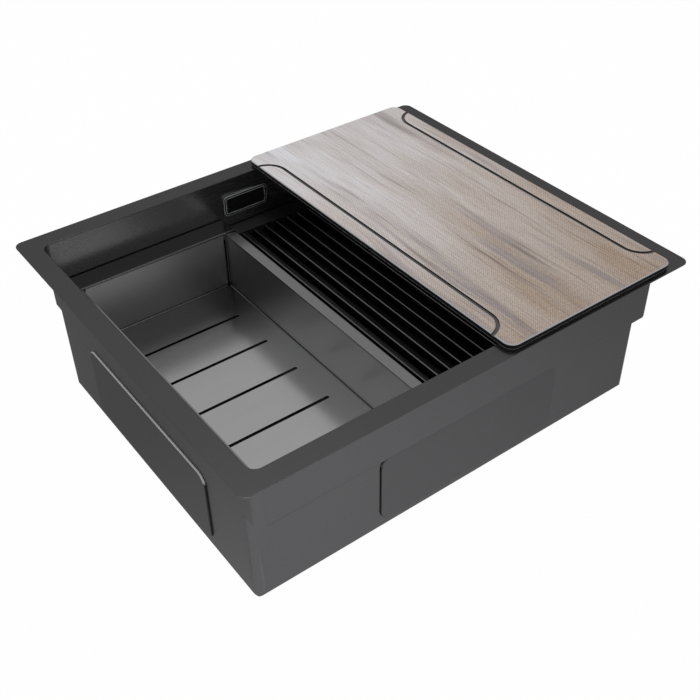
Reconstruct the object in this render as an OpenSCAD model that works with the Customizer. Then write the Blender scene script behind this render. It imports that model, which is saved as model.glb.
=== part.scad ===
// Workstation kitchen sink with a perforated drop-in tray, a roll-out drying mat and a cutting board.
// Millimetres. +X runs along the sink to the right, +Y to the back, +Z up.
// The origin is the centre of the worktop cut-out, in the plane of the rim's underside.

/* [Bowl] */
// Overall width, left to right
sink_w = 600; // [560:5:700]
// Overall size, front to back
sink_l = 510; // [480:5:560]
// Overall height, from the top of the rim to the underside
sink_h = 200; // [190:5:240]
// Width of the flat rim
rim_w = 25; // [22:1:34]
// Thickness of the steel sheet
sheet_t = 1.5; // [1:0.1:2]
// Corner radius of the rim
rim_r = 10; // [4:1:18]
// Inner corner radius of the bowl
bowl_r = 11; // [8:1:16]
// Inner radius of the fold round the floor
fold_r = 5; // [3:0.5:8]
// Width of the ledges that the tray and the mat stand on
ledge_w = 14; // [12:1:18]
// Depth of the ledges under the rim
ledge_drop = 76; // [65:1:85]
// Fall of the floor towards the outlet
floor_fall = 2; // [1:0.5:3]

/* [Outlet] */
// Distance of the outlet behind the centre
outlet_y = 70; // [50:1:90]
// Radius of the hole in the floor
outlet_r = 45; // [44:0.5:46]
// Radius of the recess that takes the strainer's flange
seat_r = 58.5; // [58:0.5:62]
// Depth of that recess
seat_h = 3; // [2.5:0.5:4]
// Radius of the strainer's flange
flange_r = 57; // [54:0.5:57]
// Outer radius of the strainer pot
pot_r = 43; // [40:0.5:43.5]
// Depth of the strainer pot under its flange
pot_h = 35; // [32:1:42]
// Thickness of the strainer's sheet
pot_t = 1.2; // [1:0.1:1.4]
// Thickness of the seal under the strainer's flange
flange_seal_t = 1; // [0.5:0.1:1.5]
// Number of drain holes in the pot's floor
pot_holes = 8; // [6:1:10]
// Radius of each drain hole
pot_hole_r = 6; // [4:0.5:6.5]
// Thickness of the rubber ring under the bowl
outlet_seal_t = 3; // [2:0.5:4]
// Wall of the plastic outlet body
body_t = 3; // [2.5:0.5:3.5]
// Outer radius of the threaded outlet
tail_r = 23.9; // [20:0.1:24]
// Length of the threaded outlet
tail_l = 30; // [26:1:40]
// Radius of the centre screw
screw_r = 3; // [2.5:0.1:3.5]
// Drop of the overflow port under the rim
port_drop = 229; // [226:0.5:232]

/* [Basket] */
// Radius of the basket's flange
basket_flange_r = 46; // [45:0.5:50]
// Outer radius of the basket's cup
basket_r = 38; // [34:0.5:39]
// Radius of the grip knob
knob_r = 9; // [6:0.5:12]
// Height of the knob's top above its stem's foot
knob_h = 36; // [30:1:40]
// Number of rings of holes in the cup's floor
hole_rings = 3; // [1:1:3]

/* [Overflow] */
// Distance of the overflow to the right of the centre
overflow_x = 3; // [-20:1:20]
// Drop of the overflow's centre under the rim
overflow_drop = 35.5; // [32:0.5:40]
// Width of the cover
cover_w = 66; // [62:1:74]
// Height of the cover
cover_h = 29; // [27:0.5:32]
// Distance that the cover stands into the bowl
cover_d = 4; // [3.5:0.5:6]
// Corner radius of the cover
cover_r = 5.5; // [4:0.5:7]
// Thickness of the gasket
gasket_t = 1.5; // [1:0.1:2]
// Depth of the housing behind the gasket
housing_d = 19.5; // [18:0.5:20]
// Centre distance of the two overflow screws
overflow_screw_pitch = 42; // [40:1:44]
// Radius of the overflow screws
overflow_screw_r = 2; // [1.5:0.1:2.2]
// Radius of the spigots that carry the hose
spigot_r = 7.4; // [6.5:0.1:7.4]
// Length of each spigot
spigot_l = 17; // [14:1:20]

/* [Hose] */
// Largest radius of the ribbed hose
hose_rib_r = 10.2; // [9.8:0.1:10.4]
// Distance from rib to rib
rib_pitch = 5; // [4.5:0.5:7]
// Radius of the hose's bend, on its centre line
hose_bend_r = 35; // [30:1:40]
// Length of the plain cuff at each end
cuff_l = 21; // [20:1:24]

/* [Tray] */
// Inner width of the tray
tray_w = 200; // [180:5:205]
// Thickness of the tray's sheet
tray_t = 1.2; // [0.8:0.1:1.5]
// Height of the tray's rim above the ledges
tray_rise = 23; // [18:1:26]
// Inside depth of the tray
tray_h = 80.5; // [60:0.5:95]
// Width of the two side lips
lip_w = 12.6; // [10:0.1:14]
// Width of the two end grips
grip_w = 30.5; // [26:0.5:32]
// Gap between the tray and the left wall
tray_side_gap = 12.7; // [8:0.1:16]
// Gap between each grip and the wall
tray_end_gap = 2; // [1:0.1:3]
// Length of the drain slots
slot_l = 147; // [100:1:160]
// Width of the drain slots
slot_w = 4.2; // [3:0.1:5]
// Centre distance of the drain slots
slot_pitch = 66; // [50:1:75]
// Number of drain slots
slots = 5; // [3:1:5]
// Open seam at each corner
seam_w = 3; // [2:0.1:4]
// Radius of the relief hole under each seam
relief_r = 3.2; // [2.5:0.1:4]

/* [Mat] */
// Gap between the tray's lip and the mat
mat_gap = 10.7; // [9.5:0.1:14]
// Number of bars
bars = 16; // [12:1:16]
// Centre distance of the bars
bar_pitch = 17.4; // [14:0.1:17.6]
// Width of a bar
bar_w = 8.5; // [7:0.1:9.5]
// Height of a bar
bar_h = 6.5; // [5:0.1:7]
// Wall of a bar's tube
bar_t = 0.8; // [0.6:0.1:1.2]
// Corner radius of a bar
bar_r = 1.6; // [1:0.1:2.4]
// Width of the end strips
strip_w = 23; // [18:0.5:26]
// Height of the end strips
strip_h = 8.5; // [8:0.1:10]
// Length of a bar inside each strip
bar_grip = 12; // [8:0.5:14]
// Margin from the strip's end to the first bar
strip_margin = 4.8; // [3:0.1:6]
// Gap between each strip and the wall
strip_end_gap = 1.5; // [1:0.1:3]

/* [Board] */
// Width of the board
board_w = 250; // [200:5:260]
// Distance that the board bears on each rim
board_bearing = 20; // [15:1:22]
// Distance from the board to the right end of the rim
board_inset = 25; // [10:1:40]
// Thickness of the board
board_t = 7; // [6:0.5:10]
// Thickness of each face layer
face_t = 1.3; // [1.2:0.1:1.6]
// Corner radius of the board
board_r = 12; // [8:1:20]
// Chamfer of the face layers' edges
board_chamfer = 1; // [0.5:0.1:1.2]
// Distance of the juice grooves from the long edges
groove_inset = 22; // [16:1:30]
// Width of the juice grooves
groove_w = 4.5; // [3:0.5:6]
// Depth of the juice grooves, which reach the dark core
groove_h = 2; // [1.7:0.1:2.5]
// Radius of the groove's turn to the edge
groove_r = 27; // [24:1:34]
// Distance from the board's short edge to the end of that turn
groove_end = 54; // [45:1:70]

/* [Sound pads] */
// Thickness of the pads
pad_t = 2.3; // [1.5:0.1:3]
// Corner radius of the pads
pad_r = 14; // [8:1:20]
// Height of the pads' lower edges above the underside
pad_lift = 13.5; // [10:0.5:16]
// Width of the front and back pads
front_pad_w = 255; // [200:5:280]
// Height of the front and back pads
front_pad_h = 93; // [70:1:96]
// Distance of the front and back pads to the right of the centre
front_pad_x = 10; // [-30:1:30]
// Width of the side pads
side_pad_w = 264; // [200:2:300]
// Height of the side pads
side_pad_h = 98; // [70:1:110]
// Width of the two pads under the floor
floor_pad_w = 150; // [120:5:180]
// Length of the two pads under the floor
floor_pad_l = 260; // [200:10:300]

/* [Fits] */
// Gap between a loose piece and what it stands on
seat_gap = 0.2; // [0.1:0.05:0.3]
// Gap round pieces that slip into each other
slip_gap = 0.1; // [0.05:0.05:0.15]

/* [Hidden] */
$fn = 48;

// Heights
bottom_z = sheet_t - sink_h;
floor_z = bottom_z + sheet_t;
drain_z = floor_z - floor_fall;
seat_z = drain_z - seat_h;
seat_under_z = seat_z - sheet_t;
ledge_z = -ledge_drop;

// The bowl's inner outline above and below the ledges
bowl_w = sink_w - 2 * rim_w;
bowl_l = sink_l - 2 * rim_w;
low_l = bowl_l - 2 * ledge_w;
// Half side of the flat square round the outlet
drain_flat = seat_r + sheet_t + 2;

// Strainer and outlet body
flange_z = seat_z + flange_seal_t;
pot_floor_z = flange_z - pot_h;
seal_lap = 3;
body_top_z = seat_under_z - outlet_seal_t;
body_flange_t = 4;
body_in_r = pot_r + 2;
body_r = body_in_r + body_t;
cone_z = pot_floor_z - 5;
cone_h = body_in_r * 0.3;
tail_z = cone_z - cone_h - tail_l;
tail_bore_r = tail_r - body_t - 0.9;
spider_z = cone_z - cone_h - 8;
spider_h = 7;
spider_w = 5;
boss_r = screw_r + 4;
port_z = -port_drop;
port_boss_r = spigot_r + 3;
port_boss_l = 6;
bolt_head_r = screw_r + 2.5;
bolt_head_h = 3;

// Basket
basket_z = flange_z + pot_t + seat_gap;
basket_t = 1;
basket_floor_z = pot_floor_z + 5;
clip_t = 0.8;
clip_in_r = bolt_head_r + 0.3;
basket_seal_r = basket_r - 4;
knob_foot_r = 6;
basket_hole_r = 1.8;
first_holes_r = knob_foot_r + 3;
last_holes_r = basket_r - 9;

// Overflow, front to back
wall_in_y = bowl_l / 2;
wall_out_y = wall_in_y + sheet_t;
gasket_y = wall_out_y + gasket_t;
housing_back_y = gasket_y + housing_d;
overflow_z = -overflow_drop;
cover_t = 1;
bracket_t = 1;
screw_boss_r = overflow_screw_r + 2.4;
screw_bite = 10;
bracket_w = cover_w - 2 * cover_t - 2 * slip_gap;
bracket_h = cover_h - 2 * cover_t - 2 * slip_gap;
wall_hole_w = overflow_screw_pitch + 2 * (screw_boss_r + 1.6);
wall_hole_h = 18;
water_w = overflow_screw_pitch - 2 * (screw_boss_r + 2.6);
water_h = 12;
window_r = 2;
housing_w = wall_hole_w + 10;
housing_h = wall_hole_h + 8;
housing_t = 2.2;
spigot_bore_r = spigot_r - 1.6;
spigot_top_z = overflow_z - housing_h / 2;

// Hose: straight down from the housing, one bend, straight to the outlet body's port
hose_sides = 8;
flat_to_corner = 1 / cos(180 / hose_sides);
hose_bore_r = (spigot_r + slip_gap) * flat_to_corner;
hose_valley_r = hose_bore_r + 0.9;
cuff_r = hose_bore_r + 1.1;
hose_y = wall_out_y + 11;
hose_top_z = spigot_top_z - seat_gap;
hose_end_y = outlet_y + body_r + port_boss_l + seat_gap;
hose_drop_l = hose_top_z - port_z - hose_bend_r;
hose_arc_l = hose_bend_r * PI / 2;
hose_run_l = hose_y - hose_bend_r - hose_end_y;
hose_l = hose_drop_l + hose_arc_l + hose_run_l;
ribs = floor((hose_l - 2 * cuff_l) / rib_pitch);
rib_step = (hose_l - 2 * cuff_l) / ribs;
bore_steps = 24;
clip_w = 8;
clip_r = cuff_r + slip_gap;

// Tray
tray_left = -bowl_w / 2 + tray_side_gap;
tray_x = tray_left + lip_w + tray_t + tray_w / 2;
tray_top_z = ledge_z + tray_rise;
tray_floor_z = tray_top_z - tray_h;
tray_l = bowl_l - 2 * tray_end_gap - 2 * grip_w;
tray_right = tray_x + tray_w / 2 + tray_t + lip_w;
tray_fold_r = 2.5;
lip_corner_r = 6;

// Mat
mat_left = tray_right + mat_gap;
mat_w = 2 * strip_margin + (bars - 1) * bar_pitch + bar_w;
mat_z = ledge_z + seat_gap;
strip_y = bowl_l / 2 - strip_end_gap - strip_w;
bar_z = mat_z + 1;

// Board
board_l = bowl_l + 2 * board_bearing;
board_x = sink_w / 2 - board_inset - board_w / 2;
board_z = sheet_t + seat_gap;
board_top_z = board_z + board_t;

// ---- Shared shapes ----

// A flat rectangle with round corners, centred on the origin
module round_rect(w, l, r) {
    square([w - 2 * r, l], center = true);
    square([w, l - 2 * r], center = true);
    for (x = [-1, 1])
        for (y = [-1, 1])
            translate([x * (w / 2 - r), y * (l / 2 - r)])
                circle(r);
}

// A straight slot with half-round ends, centred on the origin
module slot_outline(l, w) {
    square([l - w, w], center = true);
    for (x = [-1, 1])
        translate([x * (l - w) / 2, 0])
            circle(w / 2);
}

// A block with upright round corners, from z to z + h
module round_block(w, l, r, z, h) {
    translate([0, 0, z])
        linear_extrude(h)
            round_rect(w, l, r);
}

// The outline of a trough seen from its end: upright sides, round lower corners
module trough(w, h, r) {
    translate([-w / 2, r])
        square([w, h - r]);
    translate([-w / 2 + r, 0])
        square([w - 2 * r, h]);
    for (x = [-1, 1])
        translate([x * (w / 2 - r), r])
            circle(r);
}

// A pan-shaped solid: round upright corners and a round fold to the floor
module pan(w, l, h, r, fold, z) {
    translate([0, 0, z])
        intersection() {
            linear_extrude(h)
                round_rect(w, l, r);
            translate([0, l / 2 + 1, 0])
                rotate([90, 0, 0])
                    linear_extrude(l + 2)
                        trough(w, h, fold);
            translate([-w / 2 - 1, 0, 0])
                rotate([90, 0, 90])
                    linear_extrude(w + 2)
                        trough(l, h, fold);
        }
}

// A ring or disc round the outlet's axis
module ring(r_out, r_in, z, h) {
    translate([0, outlet_y, z])
        difference() {
            cylinder(r = r_out, h = h);
            translate([0, 0, -1])
                cylinder(r = r_in, h = h + 2);
        }
}

// A round-cornered plate that stands upright, its face at y and its thickness towards +Y
module wall_plate(w, h, r, y, t, x = 0, z = 0) {
    translate([x, y + t, z])
        rotate([90, 0, 0])
            linear_extrude(t)
                round_rect(w, h, r);
}

// The cut for a level slot at the overflow, from y to y + t
module overflow_slot(l, w, y, t) {
    translate([overflow_x, y + t, overflow_z])
        rotate([90, 0, 0])
            linear_extrude(t)
                slot_outline(l, w);
}

// ---- Bowl ----

// The shallow hip that leads the floor down to the outlet, its flat top at z
module floor_hip(z) {
    half_w = bowl_w / 2 - fold_r;
    half_l = low_l / 2 - fold_r;
    translate([0, 0, z])
        intersection() {
            translate([0, half_l, 0])
                rotate([90, 0, 0])
                    linear_extrude(2 * half_l)
                        polygon([
                            [-half_w, 0], [half_w, 0],
                            [drain_flat, -floor_fall], [-drain_flat, -floor_fall]
                        ]);
            translate([-half_w, 0, 0])
                rotate([90, 0, 90])
                    linear_extrude(2 * half_w)
                        polygon([
                            [-half_l, 0], [half_l, 0],
                            [outlet_y + drain_flat, -floor_fall], [outlet_y - drain_flat, -floor_fall]
                        ]);
        }
}

// Everything inside the bowl's outer skin, below the rim
module bowl_outside() {
    round_block(bowl_w + 2 * sheet_t, bowl_l + 2 * sheet_t, bowl_r + sheet_t, ledge_z - sheet_t, ledge_drop + sheet_t);
    pan(
        bowl_w + 2 * sheet_t, low_l + 2 * sheet_t, ledge_z - bottom_z,
        bowl_r + sheet_t, fold_r + sheet_t, bottom_z
    );
    floor_hip(bottom_z);
    translate([0, outlet_y, seat_under_z])
        cylinder(r = seat_r + sheet_t, h = floor_z - seat_under_z, $fn = 96);
}

// The open space inside the bowl
module bowl_inside() {
    round_block(bowl_w, bowl_l, bowl_r, ledge_z, ledge_drop + sheet_t + 1);
    pan(bowl_w, low_l, ledge_z + 1 - floor_z, bowl_r, fold_r, floor_z);
    floor_hip(floor_z);
    translate([0, outlet_y, seat_z])
        cylinder(r = seat_r, h = floor_z - seat_z + 1, $fn = 96);
}

module bowl() {
    color([0.24, 0.24, 0.25])
        difference() {
            union() {
                round_block(sink_w, sink_l, rim_r, 0, sheet_t);
                bowl_outside();
            }
            bowl_inside();
            translate([0, outlet_y, seat_under_z - 1])
                cylinder(r = outlet_r, h = sheet_t + 2, $fn = 96);
            overflow_slot(wall_hole_w, wall_hole_h, wall_in_y - 1, sheet_t + 2);
        }
}

// ---- Sound pads ----

module end_pad(side) {
    y = low_l / 2 + sheet_t;
    color([0.12, 0.12, 0.125])
        wall_plate(
            front_pad_w, front_pad_h, pad_r, side > 0 ? y : -y - pad_t, pad_t,
            front_pad_x, bottom_z + pad_lift + front_pad_h / 2
        );
}

module side_pad(side) {
    x = bowl_w / 2 + sheet_t;
    color([0.12, 0.12, 0.125])
        rotate([0, 0, -90])
            wall_plate(
                side_pad_w, side_pad_h, pad_r, side > 0 ? x : -x - pad_t, pad_t,
                0, bottom_z + pad_lift + side_pad_h / 2
            );
}

// A pad under the floor, its upper face fitted to the falling floor
module floor_pad(side) {
    color([0.12, 0.12, 0.125])
        difference() {
            translate([side * (bowl_w / 2 - floor_pad_w / 2 - 2 * pad_lift), 0, bottom_z - floor_fall - pad_t])
                linear_extrude(floor_fall + pad_t)
                    round_rect(floor_pad_w, floor_pad_l, pad_r);
            floor_hip(bottom_z);
        }
}

// ---- Overflow ----

module overflow_cover() {
    slot_h = cover_d - cover_t;
    color([0.10, 0.10, 0.105])
        difference() {
            wall_plate(cover_w, cover_h, cover_r, wall_in_y - cover_d, cover_d, overflow_x, overflow_z);
            wall_plate(
                cover_w - 2 * cover_t, cover_h - 2 * cover_t, cover_r - cover_t,
                wall_in_y - cover_d + cover_t, cover_d, overflow_x, overflow_z
            );
            // Water passes through the cover's upper and lower edges.
            translate([overflow_x - water_w / 2, wall_in_y - slot_h, overflow_z - cover_h])
                cube([water_w, slot_h - bracket_t, 2 * cover_h]);
        }
}

module overflow_bracket() {
    color([0.75, 0.76, 0.78])
        difference() {
            wall_plate(
                bracket_w, bracket_h, cover_r - cover_t - slip_gap, wall_in_y - bracket_t, bracket_t,
                overflow_x, overflow_z
            );
            wall_plate(
                water_w, water_h, window_r, wall_in_y - bracket_t - 1, bracket_t + 2,
                overflow_x, overflow_z
            );
            for (side = [-1, 1])
                overflow_screw_hole(side, wall_in_y - bracket_t - 1, bracket_t + 2);
        }
}

// A round hole for one of the overflow screws, from y to y + l
module overflow_screw_hole(side, y, l) {
    translate([overflow_x + side * overflow_screw_pitch / 2, y, overflow_z])
        rotate([-90, 0, 0])
            cylinder(r = overflow_screw_r + slip_gap, h = l);
}

module overflow_screws() {
    head_h = 1.4;
    color([0.78, 0.79, 0.80])
        for (side = [-1, 1])
            translate([overflow_x + side * overflow_screw_pitch / 2, wall_in_y - bracket_t, overflow_z])
                rotate([-90, 0, 0]) {
                    cylinder(r = overflow_screw_r, h = bracket_t + sheet_t + gasket_t + screw_bite);
                    translate([0, 0, -head_h])
                        cylinder(r = overflow_screw_r * 1.9, h = head_h);
                }
}

module overflow_gasket() {
    color([0.06, 0.06, 0.06])
        difference() {
            wall_plate(housing_w, housing_h, housing_h / 4, wall_out_y, gasket_t, overflow_x, overflow_z);
            overflow_slot(wall_hole_w, wall_hole_h, wall_out_y - 1, gasket_t + 2);
        }
}

module overflow_housing() {
    color([0.16, 0.16, 0.165])
        difference() {
            union() {
                difference() {
                    wall_plate(housing_w, housing_h, housing_h / 4, gasket_y, housing_d, overflow_x, overflow_z);
                    wall_plate(
                        wall_hole_w, wall_hole_h, wall_hole_h / 3, gasket_y - 1,
                        housing_d + 1 - housing_t, overflow_x, overflow_z
                    );
                }
                // Bosses for the two screws
                for (side = [-1, 1])
                    translate([overflow_x + side * overflow_screw_pitch / 2, gasket_y, overflow_z])
                        rotate([-90, 0, 0])
                            cylinder(r = screw_boss_r, h = housing_d - housing_t + 0.5);
                translate([overflow_x, hose_y, spigot_top_z - spigot_l])
                    cylinder(r = spigot_r, h = spigot_l + housing_t);
            }
            for (side = [-1, 1])
                overflow_screw_hole(side, gasket_y - 1, screw_bite + 3);
            translate([overflow_x, hose_y, spigot_top_z - spigot_l - 1])
                cylinder(r = spigot_bore_r, h = spigot_l + housing_h / 2);
        }
}

// ---- Overflow hose ----

// A smooth step from 0 to 1
function smooth(t) = let (c = min(1, max(0, t))) c * c * (3 - 2 * c);

// Distance to the side along the hose, which brings it from the housing to the outlet's axis
function hose_x(s) = overflow_x * (1 - smooth((s - cuff_l) / (hose_l - 2 * cuff_l)));

// The turn of the hose at the distance s along it, in degrees
function hose_turn(s) = 90 * min(1, max(0, (s - hose_drop_l) / hose_arc_l));

// The hose's centre at the distance s along it
function hose_point(s) =
    s < hose_drop_l ? [hose_x(s), hose_y, hose_top_z - s]
    : s < hose_drop_l + hose_arc_l ? [
        hose_x(s),
        hose_y - hose_bend_r * (1 - cos(hose_turn(s))),
        port_z + hose_bend_r * (1 - sin(hose_turn(s)))
    ]
    : [hose_x(s), hose_y - hose_bend_r - (s - hose_drop_l - hose_arc_l), port_z];

// One ring of the hose, square to its centre line
function hose_ring(s, r) = [
    for (k = [0:hose_sides - 1])
        let (a = (k + 0.5) * 360 / hose_sides, turn = hose_turn(s))
            hose_point(s) + r * [cos(a), sin(a) * cos(turn), -sin(a) * sin(turn)]
];

// Distance and radius of each ring: out along the ribs, then back along the bore
hose_profile = concat(
    [[0, cuff_r], [cuff_l, cuff_r], [cuff_l, hose_valley_r]],
    [for (i = [0:ribs - 1]) for (half = [0, 1])
        [cuff_l + (i + 0.25 + half / 2) * rib_step, half == 0 ? hose_rib_r : hose_valley_r]],
    [[hose_l - cuff_l, cuff_r], [hose_l, cuff_r]],
    [for (i = [0:bore_steps]) [hose_l * (1 - i / bore_steps), hose_bore_r]]
);

module overflow_hose() {
    rings = len(hose_profile);
    color([0.35, 0.35, 0.36])
        polyhedron(
            points = [for (p = hose_profile) each hose_ring(p[0], p[1])],
            faces = [
                for (i = [0:rings - 1])
                    for (k = [0:hose_sides - 1])
                        let (
                            j = (i + 1) % rings,
                            n = (k + 1) % hose_sides,
                            a = i * hose_sides + k,
                            b = i * hose_sides + n,
                            c = j * hose_sides + n,
                            d = j * hose_sides + k
                        )
                            each [[a, b, c], [a, c, d]]
            ],
            convexity = 6
        );
}

// A screw clip: a band with its block at +X
module hose_clip() {
    band_t = 0.9;
    block = [9, 6, clip_w];
    color([0.75, 0.76, 0.78])
        difference() {
            union() {
                cylinder(r = clip_r + band_t, h = clip_w);
                translate([clip_r, -block[1] / 2, 0])
                    cube(block);
            }
            translate([0, 0, -1])
                cylinder(r = clip_r, h = clip_w + 2);
        }
}

module hose_clip_top() {
    translate([overflow_x, hose_y, hose_top_z - spigot_l / 2 - clip_w / 2])
        hose_clip();
}

module hose_clip_bottom() {
    translate([0, hose_end_y + spigot_l / 2 - clip_w / 2, port_z])
        rotate([-90, 0, 0])
            hose_clip();
}

// ---- Outlet ----

module flange_seal() {
    color([0.08, 0.08, 0.08])
        ring(flange_r, outlet_r, seat_z, flange_seal_t);
}

module strainer_pot() {
    color([0.80, 0.81, 0.82])
        difference() {
            union() {
                ring(flange_r, pot_r - pot_t, flange_z, pot_t);
                ring(pot_r, pot_r - pot_t, pot_floor_z - pot_t, pot_h + pot_t);
                ring(pot_r, screw_r + slip_gap, pot_floor_z - pot_t, pot_t);
            }
            for (i = [0:pot_holes - 1])
                translate([0, outlet_y, pot_floor_z - pot_t - 1])
                    rotate([0, 0, i * 360 / pot_holes])
                        translate([pot_r / 2, 0, 0])
                            cylinder(r = pot_hole_r, h = pot_t + 2);
        }
}

module outlet_seal() {
    color([0.08, 0.08, 0.08])
        ring(seat_r - 1, outlet_r + 1, body_top_z, outlet_seal_t);
}

// The outlet body's outer form, seen as half a section
module outlet_outline(grow) {
    foot_r = tail_r - grow;
    wall_r = body_r - grow;
    bottom = tail_z - (grow > 0 ? 1 : 0);
    top = body_top_z + (grow > 0 ? 1 : 0);
    polygon([
        [0, bottom], [foot_r, bottom], [foot_r, cone_z - cone_h - (grow > 0 ? 0 : body_t)],
        [wall_r, cone_z - (grow > 0 ? 0 : body_t)], [wall_r, top], [0, top]
    ]);
}

module outlet_body() {
    color([0.13, 0.13, 0.135])
        translate([0, outlet_y, 0])
            difference() {
                union() {
                    difference() {
                        union() {
                            rotate_extrude($fn = 96)
                                outlet_outline(0);
                            translate([0, 0, body_top_z - body_flange_t])
                                cylinder(r = seat_r, h = body_flange_t, $fn = 96);
                            translate([0, 0, port_z])
                                rotate([-90, 0, 0]) {
                                    cylinder(r = port_boss_r, h = body_r + port_boss_l);
                                    cylinder(r = spigot_r, h = body_r + port_boss_l + spigot_l);
                                }
                        }
                        // The cup and the cone, then the narrower way out
                        rotate_extrude($fn = 96)
                            polygon([
                                [0, cone_z - cone_h], [tail_bore_r, cone_z - cone_h],
                                [body_in_r, cone_z], [body_in_r, body_top_z + 1], [0, body_top_z + 1]
                            ]);
                        translate([0, 0, tail_z - 1])
                            cylinder(r = tail_bore_r, h = tail_l + 2);
                        translate([0, 0, port_z])
                            rotate([-90, 0, 0])
                                cylinder(r = spigot_bore_r, h = body_r + port_boss_l + spigot_l + 1);
                    }
                    // The cross that holds the centre screw
                    for (a = [0, 90])
                        rotate([0, 0, a])
                            translate([-tail_bore_r - 1, -spider_w / 2, spider_z - spider_h])
                                cube([2 * tail_bore_r + 2, spider_w, spider_h]);
                    translate([0, 0, spider_z - spider_h])
                        cylinder(r = boss_r, h = spider_h);
                }
                translate([0, 0, spider_z - spider_h - 1])
                    cylinder(r = screw_r + slip_gap, h = spider_h + 2);
            }
}

module centre_screw() {
    color([0.78, 0.79, 0.80])
        translate([0, outlet_y, 0]) {
            translate([0, 0, spider_z - spider_h - 2])
                cylinder(r = screw_r, h = pot_floor_z - spider_z + spider_h + 2);
            translate([0, 0, pot_floor_z])
                cylinder(r = bolt_head_r, h = bolt_head_h);
        }
}

// ---- Basket ----

module basket_cup() {
    color([0.80, 0.81, 0.82])
        difference() {
            union() {
                ring(basket_flange_r, basket_r - basket_t, basket_z, basket_t);
                ring(basket_r, basket_r - basket_t, basket_floor_z, basket_z - basket_floor_z);
                translate([0, outlet_y, basket_floor_z])
                    cylinder(r = basket_r, h = basket_t);
            }
            for (i = [1:hole_rings])
                for (k = [0:6 * i - 1])
                    translate([0, outlet_y, basket_floor_z - 1])
                        rotate([0, 0, k * 60 / i])
                            translate([first_holes_r + i * (last_holes_r - first_holes_r) / hole_rings, 0, 0])
                                cylinder(r = basket_hole_r, h = basket_t + 2, $fn = 24);
        }
}

module basket_knob() {
    foot = basket_floor_z + basket_t;
    color([0.80, 0.81, 0.82])
        translate([0, outlet_y, foot])
            rotate_extrude()
                polygon([
                    [0, 0], [knob_foot_r, 0], [knob_foot_r, 1.5], [knob_r / 3, 3], [knob_r / 3, knob_h - 12],
                    [knob_r * 0.6, knob_h - 9], [knob_r, knob_h - 5], [knob_r, knob_h - 2],
                    [knob_r - 2, knob_h], [0, knob_h]
                ]);
}

module basket_seal() {
    color([0.08, 0.08, 0.08])
        ring(
            basket_seal_r, clip_in_r + clip_t, pot_floor_z + seat_gap,
            basket_floor_z - pot_floor_z - seat_gap
        );
}

module basket_clip() {
    color([0.75, 0.76, 0.78])
        ring(
            clip_in_r + clip_t, clip_in_r, pot_floor_z + seat_gap,
            basket_floor_z - pot_floor_z - seat_gap
        );
}

// ---- Tray ----

// One grip: a flat hand-hold at the tray's back end, turned down to stand on the ledge
module tray_grip() {
    outer_y = tray_l / 2 + grip_w;
    w = tray_w + 2 * tray_t + 2 * lip_w;
    skirt_w = w - 2 * lip_corner_r;
    translate([tray_x, 0, 0]) {
        translate([0, 0, tray_top_z - tray_t])
            linear_extrude(tray_t)
                intersection() {
                    round_rect(w, 2 * outer_y, lip_corner_r);
                    translate([-w / 2, tray_l / 2])
                        square([w, grip_w]);
                }
        translate([-skirt_w / 2, outer_y - tray_t, ledge_z + seat_gap])
            cube([skirt_w, tray_t, tray_rise - seat_gap]);
    }
}

module tray_slots() {
    for (i = [0:slots - 1])
        translate([tray_x, (i - (slots - 1) / 2) * slot_pitch, tray_floor_z - tray_t - 1])
            linear_extrude(tray_t + 2)
                slot_outline(slot_l, slot_w);
}

// The open seams between the end walls and the side walls, each over a round relief hole
module tray_seams() {
    for (x = [-1, 1])
        for (y = [-1, 1])
            translate([tray_x + x * (tray_w / 2 - seam_w / 2), y * (tray_l / 2 + tray_t / 2), 0]) {
                translate([-seam_w / 2, -tray_t, tray_floor_z])
                    cube([seam_w, 2 * tray_t, tray_h - tray_t]);
                translate([0, -y * tray_t / 2, tray_floor_z - tray_t - 1])
                    cylinder(r = relief_r, h = tray_t + 4);
            }
}

module tray() {
    w = tray_w + 2 * tray_t;
    l = tray_l + 2 * tray_t;
    color([0.33, 0.33, 0.34])
        difference() {
            union() {
                translate([tray_x, 0, 0])
                    pan(w, l, tray_h + tray_t, tray_fold_r + tray_t, tray_fold_r + tray_t, tray_floor_z - tray_t);
                translate([tray_x, 0, 0])
                    round_block(
                        w + 2 * lip_w, tray_l - 2 * seam_w, lip_corner_r,
                        tray_top_z - tray_t, tray_t
                    );
                tray_grip();
                mirror([0, 1, 0])
                    tray_grip();
            }
            translate([tray_x, 0, 0])
                pan(tray_w, tray_l, tray_h + 1, tray_fold_r, tray_fold_r, tray_floor_z);
            tray_slots();
            tray_seams();
        }
}

// ---- Mat ----

// A bar as it lies in the mat, from y to y + l
module bar_form(i, w, h, r, l) {
    translate([mat_left + strip_margin + bar_w / 2 + (i - 1) * bar_pitch, l / 2, bar_z + bar_h / 2])
        rotate([90, 0, 0])
            linear_extrude(l)
                round_rect(w, h, r);
}

module mat_bar(i) {
    l = 2 * (strip_y + bar_grip);
    color([0.14, 0.14, 0.145])
        difference() {
            bar_form(i, bar_w, bar_h, bar_r, l);
            bar_form(i, bar_w - 2 * bar_t, bar_h - 2 * bar_t, bar_r - bar_t, l + 2);
        }
}

module mat_strip_back() {
    strip_r = 3;
    color([0.09, 0.09, 0.09])
        difference() {
            translate([mat_left, strip_y, mat_z])
                translate([mat_w / 2, strip_w / 2, 0])
                    linear_extrude(strip_h)
                        round_rect(mat_w, strip_w, strip_r);
            for (i = [1:bars])
                bar_form(i, bar_w, bar_h, bar_r, 2 * (strip_y + bar_grip));
        }
}

module mat_strip_front() {
    mirror([0, 1, 0])
        mat_strip_back();
}

// ---- Board ----

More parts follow.
